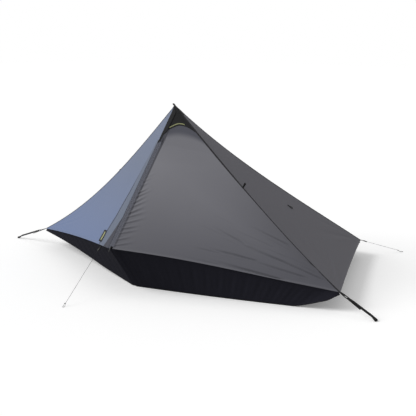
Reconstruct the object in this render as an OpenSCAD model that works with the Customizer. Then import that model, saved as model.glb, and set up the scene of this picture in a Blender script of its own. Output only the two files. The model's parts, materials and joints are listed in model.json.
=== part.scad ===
// Single-pole pyramid shelter with a zipped front, hem netting, webbing straps and guy cords.
// The origin is on the ground under the pole. The front faces -Y, +X is its right as seen from the front.

/* [Canopy] */
// Height of the peak above the ground
peak_h = 1250; // [1150:5:1350]
// Distance of the side corners from the middle
side_x = 1450; // [1350:5:1550]
// How far the side corners lie ahead of the pole
side_y = 30; // [0:5:80]
// Height of the side corners
side_z = 137; // [120:1:170]
// Distance of the rear corners from the middle
rear_x = 770; // [700:5:850]
// How far the rear corners lie behind the pole
rear_y = 1345; // [1250:5:1420]
// Height of the rear corners
rear_z = 130; // [115:1:160]
// How far the front of the hem lies ahead of the pole
front_y = 685; // [640:5:740]
// Height of the front of the hem
front_z = 320; // [280:5:360]
// Sag of the side ridges below a straight line
side_sag = 60; // [30:1:80]
// Set-back of the side ridges behind a straight line
side_setback = 42; // [10:1:55]
// Sag of the rear ridges below a straight line
rear_sag = 41; // [15:1:60]
// Upward curve of the left front hem
left_hem_curve = 18; // [0:1:30]
// Inward curve of the end hems and the rear hem
end_hem_curve = 18; // [0:1:30]
// Thickness of the canopy cloth
cloth_t = 1.2; // [0.8:0.1:2]
// Half width of the felled ridge seams
seam_w = 6; // [4:0.5:9]
// Thickness of the felled ridge seams
seam_t = 2; // [1.5:0.1:3]

/* [Peak] */
// Length of the peak cap down each ridge
cap_len = 40; // [34:1:55]
// Depth of the flat on top of the peak cap below the point of the ridges
cap_flat = 6; // [5:0.5:8]
// Wall of the peak cap
cap_t = 2; // [1.5:0.1:2.4]
// Length of the black patch down the zip edge
patch_zip = 205; // [180:1:230]
// Length of the black patch down its middle
patch_mid = 207; // [180:1:230]
// Length of the black patch down the ridge
patch_ridge = 283; // [250:1:310]
// Thickness of sewn-on patches and flaps
patch_t = 1; // [0.6:0.1:1.6]
// Height of the hang loop above the peak cap
hang_loop_h = 18; // [14:1:26]

/* [Door and zip] */
// Length of sewn front edge above the zip
zip_drop = 290; // [260:5:330]
// Distance of the door's fold line from the right corner, along the hem
fold_inset = 110; // [90:5:150]
// Width of the zip with both tapes
zip_w = 28; // [24:0.5:34]
// Diameter of one zip coil
coil_d = 3; // [2.4:0.1:3.6]
// Length of the zip slider
slider_l = 13; // [11:0.5:16]
// Length of the zip pull
pull_l = 34; // [26:1:45]
// Width of the flap beside the zip
flap_w = 105; // [80:1:130]
// Distance of the hem tag from the zip edge
tag_inset = 190; // [150:1:220]
// Width of the hem tag
tag_w = 65; // [50:1:80]
// Length of the hem tag
tag_l = 95; // [70:1:110]

/* [Netting] */
// How far ahead of the pole the netting meets the ground at the zip
net_foot_y = 425; // [390:5:470]
// How far the front netting reaches to the right along the ground
net_side_x = 1280; // [1200:5:1320]
// How far ahead of the pole that end of the front netting lies
net_side_y = 60; // [40:5:90]
// Share of the front hem over which its netting is drawn up at the right corner
net_rise = 0.12; // [0.08:0.01:0.3]
// How far the netting is drawn in under the end and rear hems
net_inset = 150; // [110:5:190]
// Height of the netting at the corners
net_corner_h = 16; // [14:1:24]
// Thickness of the netting
net_t = 1; // [0.8:0.1:1.4]
// Height of the tape that binds the netting's lower edge
binding_h = 9; // [7:0.5:11]

/* [Straps] */
// Ground reach of the right strap beyond its corner
strap_reach_right = 272; // [250:2:300]
// Ground reach of the left strap beyond its corner
strap_reach_left = 370; // [340:2:400]
// Width of the webbing
web_w = 20; // [15:1:25]
// Thickness of the webbing
web_t = 1.4; // [1:0.1:1.8]
// Distance of the buckle's first bar from the corner
buckle_in = 34; // [30:1:42]
// Distance between the buckle's outer bars
buckle_l = 24; // [22:1:30]
// Diameter of the buckle's bars
bar_d = 3.2; // [2.8:0.1:4]
// Length of the strap's free tail
tail_l = 110; // [90:5:130]
// Inner radius of the peg loops
peg_loop_r = 9; // [8:0.5:12]
// Width of the narrow webbing of the rear and front tabs
tab_w = 15; // [12:1:18]
// Length of the rear and front tabs
tab_l = 38; // [34:1:46]
// Length of a cord lock
lock_l = 20; // [18:1:24]
// Diameter of the guy cords
cord_d = 2; // [1.8:0.1:2.4]
// Length of the ridge and panel tie-outs
tie_out_l = 45; // [38:1:52]

/* [Pole] */
// Outer diameter of the upper tube
upper_d = 18; // [17:0.5:19]
// Outer diameter of the lower tube
lower_d = 15; // [13:0.5:15]
// Wall of both tubes
tube_wall = 1.2; // [0.8:0.1:1.4]
// Height of the lower end of the upper tube
joint_h = 560; // [530:5:600]
// Length of the lower tube inside the upper tube
tube_overlap = 120; // [90:5:140]
// Outer diameter of the clamp collar
collar_d = 26; // [25:0.5:28]
// Height of the clamp collar
collar_h = 44; // [40:1:50]
// Diameter of the lever's pin
pin_d = 3; // [2.5:0.1:3.4]
// Outer diameter of the rubber foot
foot_d = 28; // [24:1:34]
// Height of the rubber foot
foot_h = 32; // [28:1:38]

/* [Hidden] */
$fn = 48;
// Gap between sewn pieces that lie edge to edge
sew_gap = 0.4;
// Running clearance of sliding and turning pieces
run_gap = 0.05;
// Clearance of pieces that pass each other
pass_gap = 0.3;
// Shape of the ridge curves: where their sag is deepest
side_skew = 0.36;
rear_skew = -0.5;
// Rows and columns of the cloth grids
rows = 14;
cols = 9;
peak = [0, 0, peak_h];
front_foot = [0, -front_y, front_z];
right_corner = [side_x, -side_y, side_z];
left_corner = [-side_x, -side_y, side_z];
rear_right = [rear_x, rear_y, rear_z];
rear_left = [-rear_x, rear_y, rear_z];

// Vector helpers
function lerp(a, b, t) = a + (b - a) * t;
function unit(v) = v / norm(v);
function last(list) = list[len(list) - 1];
function steps(n) = [for (i = [0:n]) i / n];

// A ridge hangs between the peak and a corner, deepest where the skew puts it
function droop(t, skew) = 4 * t * (1 - t) * (1 + skew * (2 * t - 1));
function ridge(corner, sag, skew, back, t) =
    let (chord = corner - peak)
    let (c = unit(chord))
    let (up = unit([0, 0, 1] - c * c.z))
    peak + t * chord + droop(t, skew) * ([0, back, 0] - sag * up);
function ridge_start(corner, d) = d / norm(corner - peak);
function ridge_line(corner, sag, skew, back) =
    [for (k = steps(rows)) ridge(corner, sag, skew, back, lerp(ridge_start(corner, cap_len), 1, k))];

right_ridge = ridge_line(right_corner, side_sag, side_skew, side_setback);
left_ridge = ridge_line(left_corner, side_sag, side_skew, side_setback);
rear_right_ridge = ridge_line(rear_right, rear_sag, rear_skew, 0);
rear_left_ridge = ridge_line(rear_left, rear_sag, rear_skew, 0);
front_edge = ridge_line(front_foot, 0, 0, 0);

// The door folds along a straight line from the top of the zip to the hem near the right corner
zip_top = lerp(peak, front_foot, zip_drop / norm(front_foot - peak));
fold_foot = right_corner + fold_inset * unit(front_foot - right_corner);
zip_dir = unit(front_foot - peak);
hem_dir = unit(fold_foot - front_foot);
door_n = unit(cross(fold_foot - zip_top, front_foot - zip_top));
door_out = door_n * sign(door_n.z);
zip_across = unit(hem_dir - zip_dir * (hem_dir * zip_dir));
row_skew = hem_dir * zip_across;

// A grid of points between two edges, with each edge trimmed and the hem curved by a vector
function across(a, b, trim_a, trim_b, k) =
    let (w = norm(b - a))
    lerp(a, b, lerp(trim_a / w, 1 - trim_b / w, k));
function patch(edge_a, edge_b, trim_a, trim_b, hem, n = cols) =
    [for (i = [0:len(edge_a) - 1])
        let (fall = pow(i / (len(edge_a) - 1), 3))
        [for (k = steps(n)) across(edge_a[i], edge_b[i], trim_a, trim_b, k) + hem * fall * 4 * k * (1 - k)]];
function offset_grid(grid, v) = [for (row = grid) [for (p = row) p + v]];
// Cloth normals, square to each edge and blended between the two
function ridge_tangent(line, i) = unit(line[min(i + 1, rows)] - line[max(i - 1, 0)]);
function facing(v, w) = v * sign(v * w);
function side_normal(line, i, edge) =
    facing(unit(cross(ridge_tangent(line, i), edge[i] - line[i])), [0, 0, 1]);
function ridge_up(line, i, edge_a, edge_b) = unit(side_normal(line, i, edge_a) + side_normal(line, i, edge_b));
function blend_normals(line_a, line_b, i) =
    [for (k = steps(cols)) unit(lerp(side_normal(line_a, i, line_b), side_normal(line_b, i, line_a), k))];
function all_normals(line_a, line_b) = [for (i = [0:rows]) blend_normals(line_a, line_b, i)];
function shifted(grid, normals, d) =
    [for (i = [0:len(grid) - 1]) [for (j = [0:len(grid[i]) - 1]) grid[i][j] + normals[i][j] * d]];
function out_normal(a, b) =
    let (n = unit(cross(a - peak, b - peak)))
    n * sign(n.z);

front_left_n = out_normal(left_corner, front_foot);
seam_trim = seam_w + sew_gap;
edge_trim = 0.8;
left_hem = left_hem_curve * unit(peak - lerp(left_corner, front_foot, 0.5));
right_hem = end_hem_curve * unit(peak - lerp(right_corner, rear_right, 0.5));
left_end_hem = end_hem_curve * unit(peak - lerp(left_corner, rear_left, 0.5));
rear_hem = end_hem_curve * unit(peak - lerp(rear_right, rear_left, 0.5));

front_left_grid = patch(left_ridge, front_edge, seam_trim, edge_trim, left_hem);
right_grid = patch(right_ridge, rear_right_ridge, seam_trim, seam_trim, right_hem);
rear_grid = patch(rear_right_ridge, rear_left_ridge, seam_trim, seam_trim, rear_hem);
left_grid = patch(rear_left_ridge, left_ridge, seam_trim, seam_trim, left_end_hem);
front_left_normals = all_normals(left_ridge, front_edge);
right_normals = all_normals(right_ridge, rear_right_ridge);
rear_normals = all_normals(rear_right_ridge, rear_left_ridge);
left_normals = all_normals(rear_left_ridge, left_ridge);

// The yoke lies above the fold line: its lower edge runs down the front edge, then along the fold
yoke_turn = 4;
yoke_edge = concat(
    [for (k = steps(yoke_turn)) lerp(front_edge[0], zip_top, k)],
    [for (i = [1:rows - yoke_turn]) lerp(zip_top, fold_foot, i / (rows - yoke_turn))]);
function yoke_trim(i) = i <= yoke_turn ? zip_w / row_skew : sew_gap / 2;
yoke_grid = [for (i = [0:rows])
    [for (k = steps(cols)) across(right_ridge[i], yoke_edge[i], seam_trim, yoke_trim(i), k)]];
yoke_normals = [for (i = [0:rows])
    [for (k = steps(cols)) unit(lerp(side_normal(right_ridge, i, yoke_edge), door_out, k))]];
front_tape_grid = [for (i = [0:yoke_turn])
    let (w = norm(right_ridge[i] - yoke_edge[i]))
    [for (d = [zip_w / row_skew - sew_gap, edge_trim]) lerp(yoke_edge[i], right_ridge[i], d / w)]];

// The door is the flat triangle between the fold line and the zip
door_top = 0.035;
door_grid = [for (k = steps(rows))
    let (t = lerp(door_top, 1, k))
    let (a = lerp(zip_top, fold_foot, t))
    let (b = lerp(zip_top, front_foot, t))
    [for (j = steps(cols)) across(a, b, sew_gap / 2, zip_w / row_skew, j)]];
zip_l = norm(front_foot - zip_top);

// Solids from grids and sections of points
function flat_points(grid) = [for (row = grid) each row];
function turned(faces, flip) = flip ? [for (f = faces) [f[2], f[1], f[0]]] : faces;
module sheet(front, back) {
    nr = len(front) - 1;
    m = len(front[0]);
    nc = m - 1;
    b = len(front) * m;
    side = cross(front[0][nc] - front[0][0], front[nr][0] - front[0][0]) * (front[0][0] - back[0][0]);
    faces = concat(
        [for (r = [0:nr - 1], c = [0:nc - 1]) let (p = r * m + c) each [[p, p + 1, p + m + 1], [p, p + m + 1, p + m]]],
        [for (r = [0:nr - 1], c = [0:nc - 1]) let (p = b + r * m + c) each [[p, p + m + 1, p + 1], [p, p + m, p + m + 1]]],
        [for (c = [0:nc - 1]) each [[c + 1, c, b + c], [c + 1, b + c, b + c + 1]]],
        [for (c = [0:nc - 1]) let (p = nr * m + c) each [[p, p + 1, b + p + 1], [p, b + p + 1, b + p]]],
        [for (r = [0:nr - 1]) let (p = r * m) each [[p, p + m, b + p + m], [p, b + p + m, b + p]]],
        [for (r = [0:nr - 1]) let (p = r * m + nc) each [[p + m, p, b + p], [p + m, b + p, b + p + m]]]);
    polyhedron(concat(flat_points(front), flat_points(back)), turned(faces, side > 0));
}
module cloth(grid, normals) {
    sheet(grid, shifted(grid, normals, -cloth_t));
}
module flat_cloth(grid, n) {
    sheet(grid, offset_grid(grid, -n * cloth_t));
}
module raised(grid, n, t = patch_t) {
    sheet(offset_grid(grid, n * (pass_gap + t)), offset_grid(grid, n * pass_gap));
}
module loft(sections) {
    m = len(sections[0]);
    n = len(sections) - 1;
    s = sections[0];
    side = cross(s[1] - s[0], s[2] - s[1]) * (sections[1][1] - s[1]);
    walls = [for (i = [0:n - 1], j = [0:m - 1])
        let (a = i * m + j)
        let (c = i * m + (j + 1) % m)
        each [[a, c, c + m], [a, c + m, a + m]]];
    ends = [for (j = [1:m - 2]) each [
        [1, (j + 2) % m, (j + 1) % m],
        [n * m + 1, n * m + (j + 1) % m, n * m + (j + 2) % m]]];
    polyhedron(flat_points(sections), turned(concat(walls, ends), side > 0));
}
function tangent(path, i) = unit(path[min(i + 1, len(path) - 1)] - path[max(i - 1, 0)]);
function ring(p, t, r, sides) =
    let (u = unit(cross(t, [0, 0, 1])))
    let (v = cross(u, t))
    [for (j = [0:sides - 1]) p + r * (cos(360 * j / sides) * u + sin(360 * j / sides) * v)];
module tube(path, d, sides = 8) {
    loft([for (i = [0:len(path) - 1]) ring(path[i], tangent(path, i), d / 2, sides)]);
}
// A local frame: x, y and z directions and the place of its origin
module placed(o, ex, ey, ez) {
    multmatrix([
        [ex.x, ey.x, ez.x, o.x],
        [ex.y, ey.y, ez.y, o.y],
        [ex.z, ey.z, ez.z, o.z],
        [0, 0, 0, 1]]) children();
}
// A strip of webbing that follows a flat path, drawn in x and z and as wide as w along y
function path_normal(path, i) = let (t = tangent(path, i)) [-t.y, t.x];
function strip(path, t) = concat(
    [for (i = [0:len(path) - 1]) path[i] + path_normal(path, i) * t / 2],
    [for (i = [len(path) - 1:-1:0]) path[i] - path_normal(path, i) * t / 2]);
module webbing(path, w, t = web_t) {
    rotate([90, 0, 0])
        translate([0, 0, -w / 2])
            linear_extrude(w)
                polygon(strip(path, t));
}
function arc(c, r, a0, a1, n = 8) = [for (k = steps(n)) c + r * [cos(lerp(a0, a1, k)), sin(lerp(a0, a1, k))]];

// Canopy panels
module front_left_panel() {
    color("slategray") cloth(front_left_grid, front_left_normals);
}
module front_yoke() {
    color("dimgray") cloth(yoke_grid, yoke_normals);
}
module door_leaf() {
    color("dimgray") flat_cloth(door_grid, door_out);
}
module right_panel() {
    color("dimgray") cloth(right_grid, right_normals);
}
module left_panel() {
    color("dimgray") cloth(left_grid, left_normals);
}
module rear_panel() {
    color("dimgray") cloth(rear_grid, rear_normals);
}

// Felled seams along the ridges, bent over the ridge between two panels
module ridge_seam(line, edge_a, edge_b) {
    high = seam_t / 4;
    low = seam_t - high;
    loft([for (i = [0:rows])
        let (a = line[i] + seam_w * unit(edge_a[i] - line[i]))
        let (b = line[i] + seam_w * unit(edge_b[i] - line[i]))
        let (na = side_normal(line, i, edge_a))
        let (nb = side_normal(line, i, edge_b))
        let (mitre = (na + nb) / (1 + na * nb))
        [a + na * high, line[i] + mitre * high, b + nb * high, b - nb * low, line[i] - mitre * low, a - na * low]]);
}
module ridge_seam_right() {
    color("dimgray") ridge_seam(right_ridge, yoke_edge, rear_right_ridge);
}
module ridge_seam_left() {
    color("dimgray") ridge_seam(left_ridge, front_edge, rear_left_ridge);
}
module ridge_seam_rear_right() {
    color("dimgray") ridge_seam(rear_right_ridge, right_ridge, rear_left_ridge);
}
module ridge_seam_rear_left() {
    color("dimgray") ridge_seam(rear_left_ridge, left_ridge, rear_right_ridge);
}

// Peak: a flat-topped cap over the ridges' ends, the black patch, the hang loop and the pole's pocket
cap_corners = [front_edge[0], right_ridge[0], rear_right_ridge[0], rear_left_ridge[0], left_ridge[0]];
cap_ring = [for (p = cap_corners) lerp(p, peak, 1.5 * sew_gap / cap_len)];
cap_n = [for (i = [0:4]) out_normal(cap_corners[i], cap_corners[(i + 1) % 5])];
cap_inner = [for (i = [0:4])
    let (a = cap_n[i])
    let (b = cap_n[(i + 4) % 5])
    cap_ring[i] - cap_t * (a + b) / (1 + a * b)];
cap_top_z = peak_h - cap_flat;
cap_min_nz = min([for (n = cap_n) n.z]);
inner_peak = peak - [0, 0, cap_t / cap_min_nz];
function cut_at(from, to, z) = lerp(from, to, (from.z - z) / (from.z - to.z));
module apex_cap() {
    outer = [for (p = cap_ring) cut_at(peak, p, cap_top_z)];
    inner = [for (p = cap_inner) cut_at(inner_peak, p, cap_top_z - cap_t)];
    color("black") {
        fan = [for (i = [0:4]) let (j = (i + 1) % 5) each [
            [i, j, 5 + j], [i, 5 + j, 5 + i],
            [5 + i, 5 + j, 15 + j], [5 + i, 15 + j, 15 + i],
            [10 + j, 10 + i, 15 + i], [10 + j, 15 + i, 15 + j]]];
        lids = [for (i = [1:3]) each [[0, i + 1, i], [10, 10 + i, 11 + i]]];
        polyhedron(concat(outer, cap_ring, inner, cap_inner), turned(concat(fan, lids), false));
    }
}
patch_rows = 6;
// The patch's lower edge is an arch between its lengths down the zip edge, middle and ridge
function patch_reach(k) =
    k < 0.5 ? lerp(patch_mid, patch_ridge, pow(1 - 2 * k, 3)) : lerp(patch_mid, patch_zip, pow(2 * k - 1, 2));
ridge_step = (norm(peak - right_corner) - cap_len) / rows;
zip_step = (zip_drop - cap_len) / yoke_turn;
function yoke_point(d, k) =
    let (f = (d - cap_len) / lerp(ridge_step, zip_step, k))
    let (i = min(floor(f), rows - 1))
    let (a = lerp(right_ridge[i], right_ridge[i + 1], f - i))
    let (b = lerp(yoke_edge[i], yoke_edge[i + 1], f - i))
    across(a, b, seam_trim + 1, zip_w / row_skew, k);
module apex_patch() {
    color("black") raised([for (r = steps(patch_rows))
        [for (k = steps(cols)) yoke_point(lerp(cap_len + 1, patch_reach(k), r), k)]], door_out);
}
module front_tape() {
    color("black") flat_cloth(front_tape_grid, door_out);
}
loop_w = 10;
loop_foot = 4;
module apex_loop() {
    r = hang_loop_h / 3;
    base = cap_top_z + web_t / 2;
    path = concat(
        [[r + loop_foot, base], [r + 1, base]],
        arc([0, base + hang_loop_h - r], r, 0, 180),
        [[-r - 1, base], [-r - loop_foot, base]]);
    color("black") webbing(path, loop_w);
}
pocket_r = 13;
pocket_top_r = 5;
pocket_wall = 1.5;
pocket_l = 60;
front_cap_n = cap_n[0];
front_cap_h = norm([front_cap_n.x, front_cap_n.y]);
function pocket_z(r) = peak_h - (r * front_cap_h + cap_t + pass_gap) / front_cap_n.z;
pocket_top = min(pocket_z(pocket_top_r), cap_top_z - cap_t - pass_gap);
pocket_fall = (pocket_top - pocket_z(pocket_r)) / (pocket_r - pocket_top_r);
module pole_pocket() {
    shoulder = pocket_z(pocket_r);
    color("black") rotate_extrude()
        polygon([
            [0, pocket_top],
            [pocket_top_r, pocket_top],
            [pocket_r, shoulder],
            [pocket_r, pocket_top - pocket_l],
            [pocket_r - pocket_wall, pocket_top - pocket_l],
            [pocket_r - pocket_wall, shoulder - pocket_wall / 2],
            [pocket_top_r - pocket_wall / 2, pocket_top - pocket_wall],
            [0, pocket_top - pocket_wall]]);
}

// Zip: x runs across to the right, y up along the zip, z outwards; the origin is at the hem
module zip_frame() {
    placed(front_foot, zip_across, -zip_dir, door_out) children();
}
zip_mid = zip_w / 2;
coil_x = coil_d / 2 + 0.25;
coil_z = -coil_d / 5;
tape_t = 0.8;
tape_in = coil_d + 0.6;
slider_rise = 5;
slider_y = slider_l / 2 + slider_rise;
coil_start = slider_l + slider_rise + 3;
coil_end = zip_l - 12;
zip_foot = 2;
module tape_strip(x0, x1, from) {
    zip_frame() translate([x0, from, -tape_t]) cube([x1 - x0, coil_end - from, tape_t]);
}
module zip_tape_left() {
    color("black") tape_strip(edge_trim + 0.2, zip_mid - tape_in, zip_foot);
}
// The right half of the zip starts above the slider, which stays with the left half
module zip_tape_right() {
    color("black") tape_strip(zip_mid + tape_in, zip_w - sew_gap, coil_start);
}
module coil(x, from) {
    zip_frame() translate([x, from, coil_z]) rotate([-90, 0, 0]) cylinder(d = coil_d, h = coil_end - from);
}
module zip_coil_left() {
    color("black") coil(zip_mid - coil_x, zip_foot);
}
module zip_coil_right() {
    color("black") coil(zip_mid + coil_x, coil_start);
}
// The slider holds the left coil between two plates, open to the left where the tape passes
plate_t = 1.2;
plate_gap = coil_d / 2 + pass_gap;
slider_w = 10;
bail_d = 1.8;
bail_z = coil_z + plate_gap + plate_t + 2.2;
lug_w = 1.4;
pull_w = 5;
module zip_slider() {
    color("black") zip_frame() translate([zip_mid, slider_y, 0]) difference() {
        union() {
            for (z = [coil_z + plate_gap, coil_z - plate_gap - plate_t])
                translate([-slider_w / 2 + 1.6, -slider_l / 2, z])
                    cube([slider_w - 1.6, slider_l, plate_t]);
            translate([pass_gap, -slider_l / 2, coil_z - plate_gap])
                cube([slider_w / 2 - pass_gap, slider_l, 2 * plate_gap]);
            for (x = [-pull_w / 2 - lug_w - pass_gap, pull_w / 2 + pass_gap])
                translate([x, -bail_d, coil_z + plate_gap + plate_t])
                    cube([lug_w, 2 * bail_d, bail_z - coil_z - plate_gap - plate_t + bail_d]);
            translate([-pull_w / 2 - lug_w - pass_gap, 0, bail_z])
                rotate([0, 90, 0]) cylinder(d = bail_d, h = pull_w + 2 * (lug_w + pass_gap));
        }
    }
}
pull_t = 2.6;
module zip_pull() {
    color("black") zip_frame() translate([zip_mid, slider_y, bail_z]) difference() {
        union() {
            rotate([0, 90, 0]) translate([0, 0, -pull_w / 2]) cylinder(d = bail_d + 2.2, h = pull_w);
            translate([-pull_w / 2, -pull_l, -pull_t / 2]) cube([pull_w, pull_l - bail_d, pull_t]);
        }
        rotate([0, 90, 0]) translate([0, 0, -pull_w]) cylinder(d = bail_d + 2 * run_gap, h = 2 * pull_w);
        for (i = [1:4])
            translate([-pull_w, -pull_l + 4 * i, pull_t / 2 - 0.5]) cube([2 * pull_w, 1.5, 1]);
    }
}
// Strip of cloth beside the zip on the left front panel, and the tag beside it near the hem
function left_point(t, d) =
    let (f = t * rows)
    let (i = min(floor(f), rows - 1))
    let (a = lerp(left_ridge[i], left_ridge[i + 1], f - i))
    let (b = lerp(front_edge[i], front_edge[i + 1], f - i))
    let (w = norm(a - b))
    let (k = d / w)
    lerp(b, a, k) + left_hem * pow(t, 3) * 4 * k * (1 - k);
edge_l = norm(front_foot - front_edge[0]);
flap_top = (zip_drop - cap_len) / edge_l;
module zip_flap() {
    color("slategray") raised([for (k = steps(10))
        let (t = lerp(flap_top, 1, k))
        [for (j = steps(3)) left_point(t, lerp(2, lerp(0.35, 1, min(1, 2 * k)) * flap_w, j))]], front_left_n);
}
tag_rise = 22;
module hem_tag() {
    t1 = 1 - tag_rise / edge_l;
    t0 = t1 - tag_l / edge_l;
    color("black") raised([for (k = steps(2))
        [for (j = steps(2)) left_point(lerp(t0, t1, k), tag_inset + tag_w * j)]], front_left_n);
}

// Netting: a grid from a hem row down to a lower edge, with a binding along the bottom
net_foot = [0, -net_foot_y, 0];
net_side = [net_side_x, -net_side_y, 0];
// 0 at a hem corner, 1 from the given share of the hem onwards
function drop(k, reach) = k >= reach ? 1 : 1 - pow(1 - k / reach, 2);
function hem_under(p, n) = p - n * (cloth_t + pass_gap);
function inset_row(hem, in_dir) = [for (i = [0:len(hem) - 1])
    let (k = i / (len(hem) - 1))
    let (g = drop(min(k, 1 - k), 0.3))
    let (p = hem[i])
    [p.x, p.y, 0] + in_dir * net_inset * g + [0, 0, (p.z - net_corner_h) * (1 - g)]];
function net_rows(hem, foot, from, to) = [for (v = [0, 0.33, 0.67, 1])
    [for (i = [0:len(hem) - 1])
        let (h = norm(foot[i] - hem[i]))
        lerp(hem[i], foot[i], lerp(from / h, 1 - to / h, v))]];
module net_piece(hem, foot, out, from, to, t) {
    grid = net_rows(hem, foot, from, to);
    sheet(grid, offset_grid(grid, -out * t));
}
module net_panel(hem, foot, out) {
    net_piece(hem, foot, out, 0, binding_h + sew_gap, net_t);
}
module net_bind(hem, foot, out) {
    top = [for (i = [0:len(hem) - 1])
        lerp(foot[i], hem[i], binding_h / norm(foot[i] - hem[i]))];
    grid = [top, foot];
    sheet(offset_grid(grid, out * net_t / 2), offset_grid(grid, -out * net_t * 1.5));
}
function flat_in(a, b) = let (d = unit([b.x - a.x, b.y - a.y, 0])) let (n = [-d.y, d.x, 0])
    n * sign(n * (-(a + b)));
right_in = flat_in(right_corner, rear_right);
left_in = flat_in(left_corner, rear_left);
rear_in = flat_in(rear_right, rear_left);
front_in = flat_in(right_corner, front_foot);
front_left_in = flat_in(left_corner, front_foot);
function under(grid, normals) = last(shifted(grid, normals, -cloth_t - pass_gap));
right_net_hem = under(right_grid, right_normals);
left_net_hem = under(left_grid, left_normals);
rear_net_hem = under(rear_grid, rear_normals);
right_net_foot = inset_row(right_net_hem, right_in);
left_net_foot = inset_row(left_net_hem, left_in);
rear_net_foot = inset_row(rear_net_hem, rear_in);
front_left_net_hem = concat(
    under(front_left_grid, front_left_normals),
    [hem_under(front_foot + zip_across * (zip_mid - coil_d), door_out)]);
front_left_net_foot = [for (i = [0:cols + 1])
    lerp(left_corner - [0, 0, net_corner_h], net_foot + [zip_mid - 2 * coil_d, 0, 0], i / (cols + 1))];
// The front netting runs from the zip to the right corner, where it is drawn up to the hem
front_l = norm(right_corner - front_foot);
net_floor = 1.5;
function front_net_foot(d, lift) =
    let (k = d / front_l)
    let (g = drop(k, net_rise))
    let (p = hem_under(lerp(right_corner, front_foot, k), door_out))
    lerp(p - [0, 0, net_corner_h], lerp(net_side, net_foot, k) + [0, 0, lift], g);
function front_span(d0, d1, n) = [for (k = steps(n)) lerp(d0, d1, k)];
door_span = front_span(fold_inset - sew_gap, front_l - zip_mid - coil_d, cols);
corner_span = front_span(seam_trim, fold_inset - 3 * sew_gap, 3);
function front_net_hem(span) =
    [for (d = span) hem_under(right_corner + d * unit(front_foot - right_corner), door_out)];
door_net_hem = front_net_hem(door_span);
door_net_foot = [for (d = door_span) front_net_foot(d, net_floor)];
corner_net_hem = front_net_hem(corner_span);
corner_net_foot = [for (d = corner_span) front_net_foot(d, net_floor)];
module net_door() {
    color("black") net_panel(door_net_hem, door_net_foot, -front_in);
}
module net_corner() {
    color("black") net_panel(corner_net_hem, corner_net_foot, -front_in);
}
module net_front_left() {
    color("black") net_panel(front_left_net_hem, front_left_net_foot, -front_left_in);
}
module net_right() {
    color("black") net_panel(right_net_hem, right_net_foot, -right_in);
}
module net_left() {
    color("black") net_panel(left_net_hem, left_net_foot, -left_in);
}
module net_rear() {
    color("black") net_panel(rear_net_hem, rear_net_foot, -rear_in);
}
module net_binding_door() {
    color("black") net_bind(door_net_hem, door_net_foot, -front_in);
}
module net_binding() {
    color("black") {
        net_bind(corner_net_hem, corner_net_foot, -front_in);
        net_bind(front_left_net_hem, front_left_net_foot, -front_left_in);
        net_bind(right_net_hem, right_net_foot, -right_in);
        net_bind(left_net_hem, left_net_foot, -left_in);
        net_bind(rear_net_hem, rear_net_foot, -rear_in);
    }
}

// Side straps, drawn for the right corner in x outwards and z up and mirrored for the left
strap_from = [side_x, side_z];
function strap_end(reach) = [side_x + reach, web_t / 2];
function strap_dir(reach) = unit(strap_end(reach) - strap_from);
function turn(d) = [-d.y, d.x];
wrap_r = bar_d / 2 + pass_gap + web_t / 2;
module strap_side(reach, s) {
    translate([0, -side_y, 0]) mirror([s < 0 ? 1 : 0, 0, 0]) children();
}
function along(reach, d, h) = strap_from + strap_dir(reach) * d + turn(strap_dir(reach)) * h;
function strap_angle(reach) = atan2(strap_dir(reach).y, strap_dir(reach).x);
tab_lift = web_t / 2 + 0.1;
corner_seat = 0.5;
module corner_tab(reach) {
    a = strap_angle(reach);
    path = concat(
        [along(reach, corner_seat, tab_lift), along(reach, 10, tab_lift), along(reach, 20, wrap_r)],
        arc(along(reach, buckle_in, 0), wrap_r, a + 90, a - 90),
        [along(reach, 20, -wrap_r), along(reach, 10, -tab_lift), along(reach, corner_seat, -tab_lift)]);
    webbing(path, web_w);
}
rail_w = 3;
frame_w = web_w + 2 + 2 * rail_w;
module buckle(reach) {
    d = strap_dir(reach);
    o = along(reach, buckle_in, 0);
    placed([o.x, 0, o.y], [d.x, 0, d.y], [0, 1, 0], [-d.y, 0, d.x]) {
        for (x = [0, buckle_l])
            translate([x, frame_w / 2, 0]) rotate([90, 0, 0]) cylinder(d = bar_d, h = frame_w);
        translate([buckle_l / 2 - bar_d / 2, -frame_w / 2, -bar_d / 2]) cube([bar_d, frame_w, bar_d]);
        for (s = [-1, 1])
            translate([-bar_d, s * (frame_w - rail_w) / 2 - rail_w / 2, -bar_d * 0.7])
                cube([buckle_l + 2 * bar_d, rail_w, bar_d * 1.4]);
    }
}
// The strap turns round the buckle's outer bar; its end is sewn back into a loop for a peg
peg_sewn = 34;
tail_hang = 7;
module strap(reach) {
    a = strap_angle(reach);
    bar = buckle_in + buckle_l;
    loop_r = peg_loop_r + web_t / 2;
    loop_c = [strap_end(reach).x - loop_r, loop_r + web_t / 2];
    top = loop_c + loop_r * [cos(a + 90), sin(a + 90)];
    from = along(reach, bar, wrap_r);
    run = unit(top - from);
    sewn = top - run * peg_sewn - turn(run) * (web_t + pass_gap);
    path = concat(
        [along(reach, bar + tail_l, -wrap_r - tail_hang), along(reach, bar + tail_l / 2, -wrap_r - tail_hang / 3)],
        arc(along(reach, bar, 0), wrap_r, a + 270, a + 90),
        [top],
        arc(loop_c, loop_r, a + 80, a - 130, 12),
        [sewn, sewn - run * peg_sewn / 2]);
    webbing(path, web_w);
}
module corner_tab_right() {
    color("black") strap_side(strap_reach_right, 1) corner_tab(strap_reach_right);
}
module corner_tab_left() {
    color("black") strap_side(strap_reach_left, -1) corner_tab(strap_reach_left);
}
module buckle_right() {
    color("black") strap_side(strap_reach_right, 1) buckle(strap_reach_right);
}
module buckle_left() {
    color("black") strap_side(strap_reach_left, -1) buckle(strap_reach_left);
}
module strap_right() {
    color("black") strap_side(strap_reach_right, 1) strap(strap_reach_right);
}
module strap_left() {
    color("black") strap_side(strap_reach_left, -1) strap(strap_reach_left);
}

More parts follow.
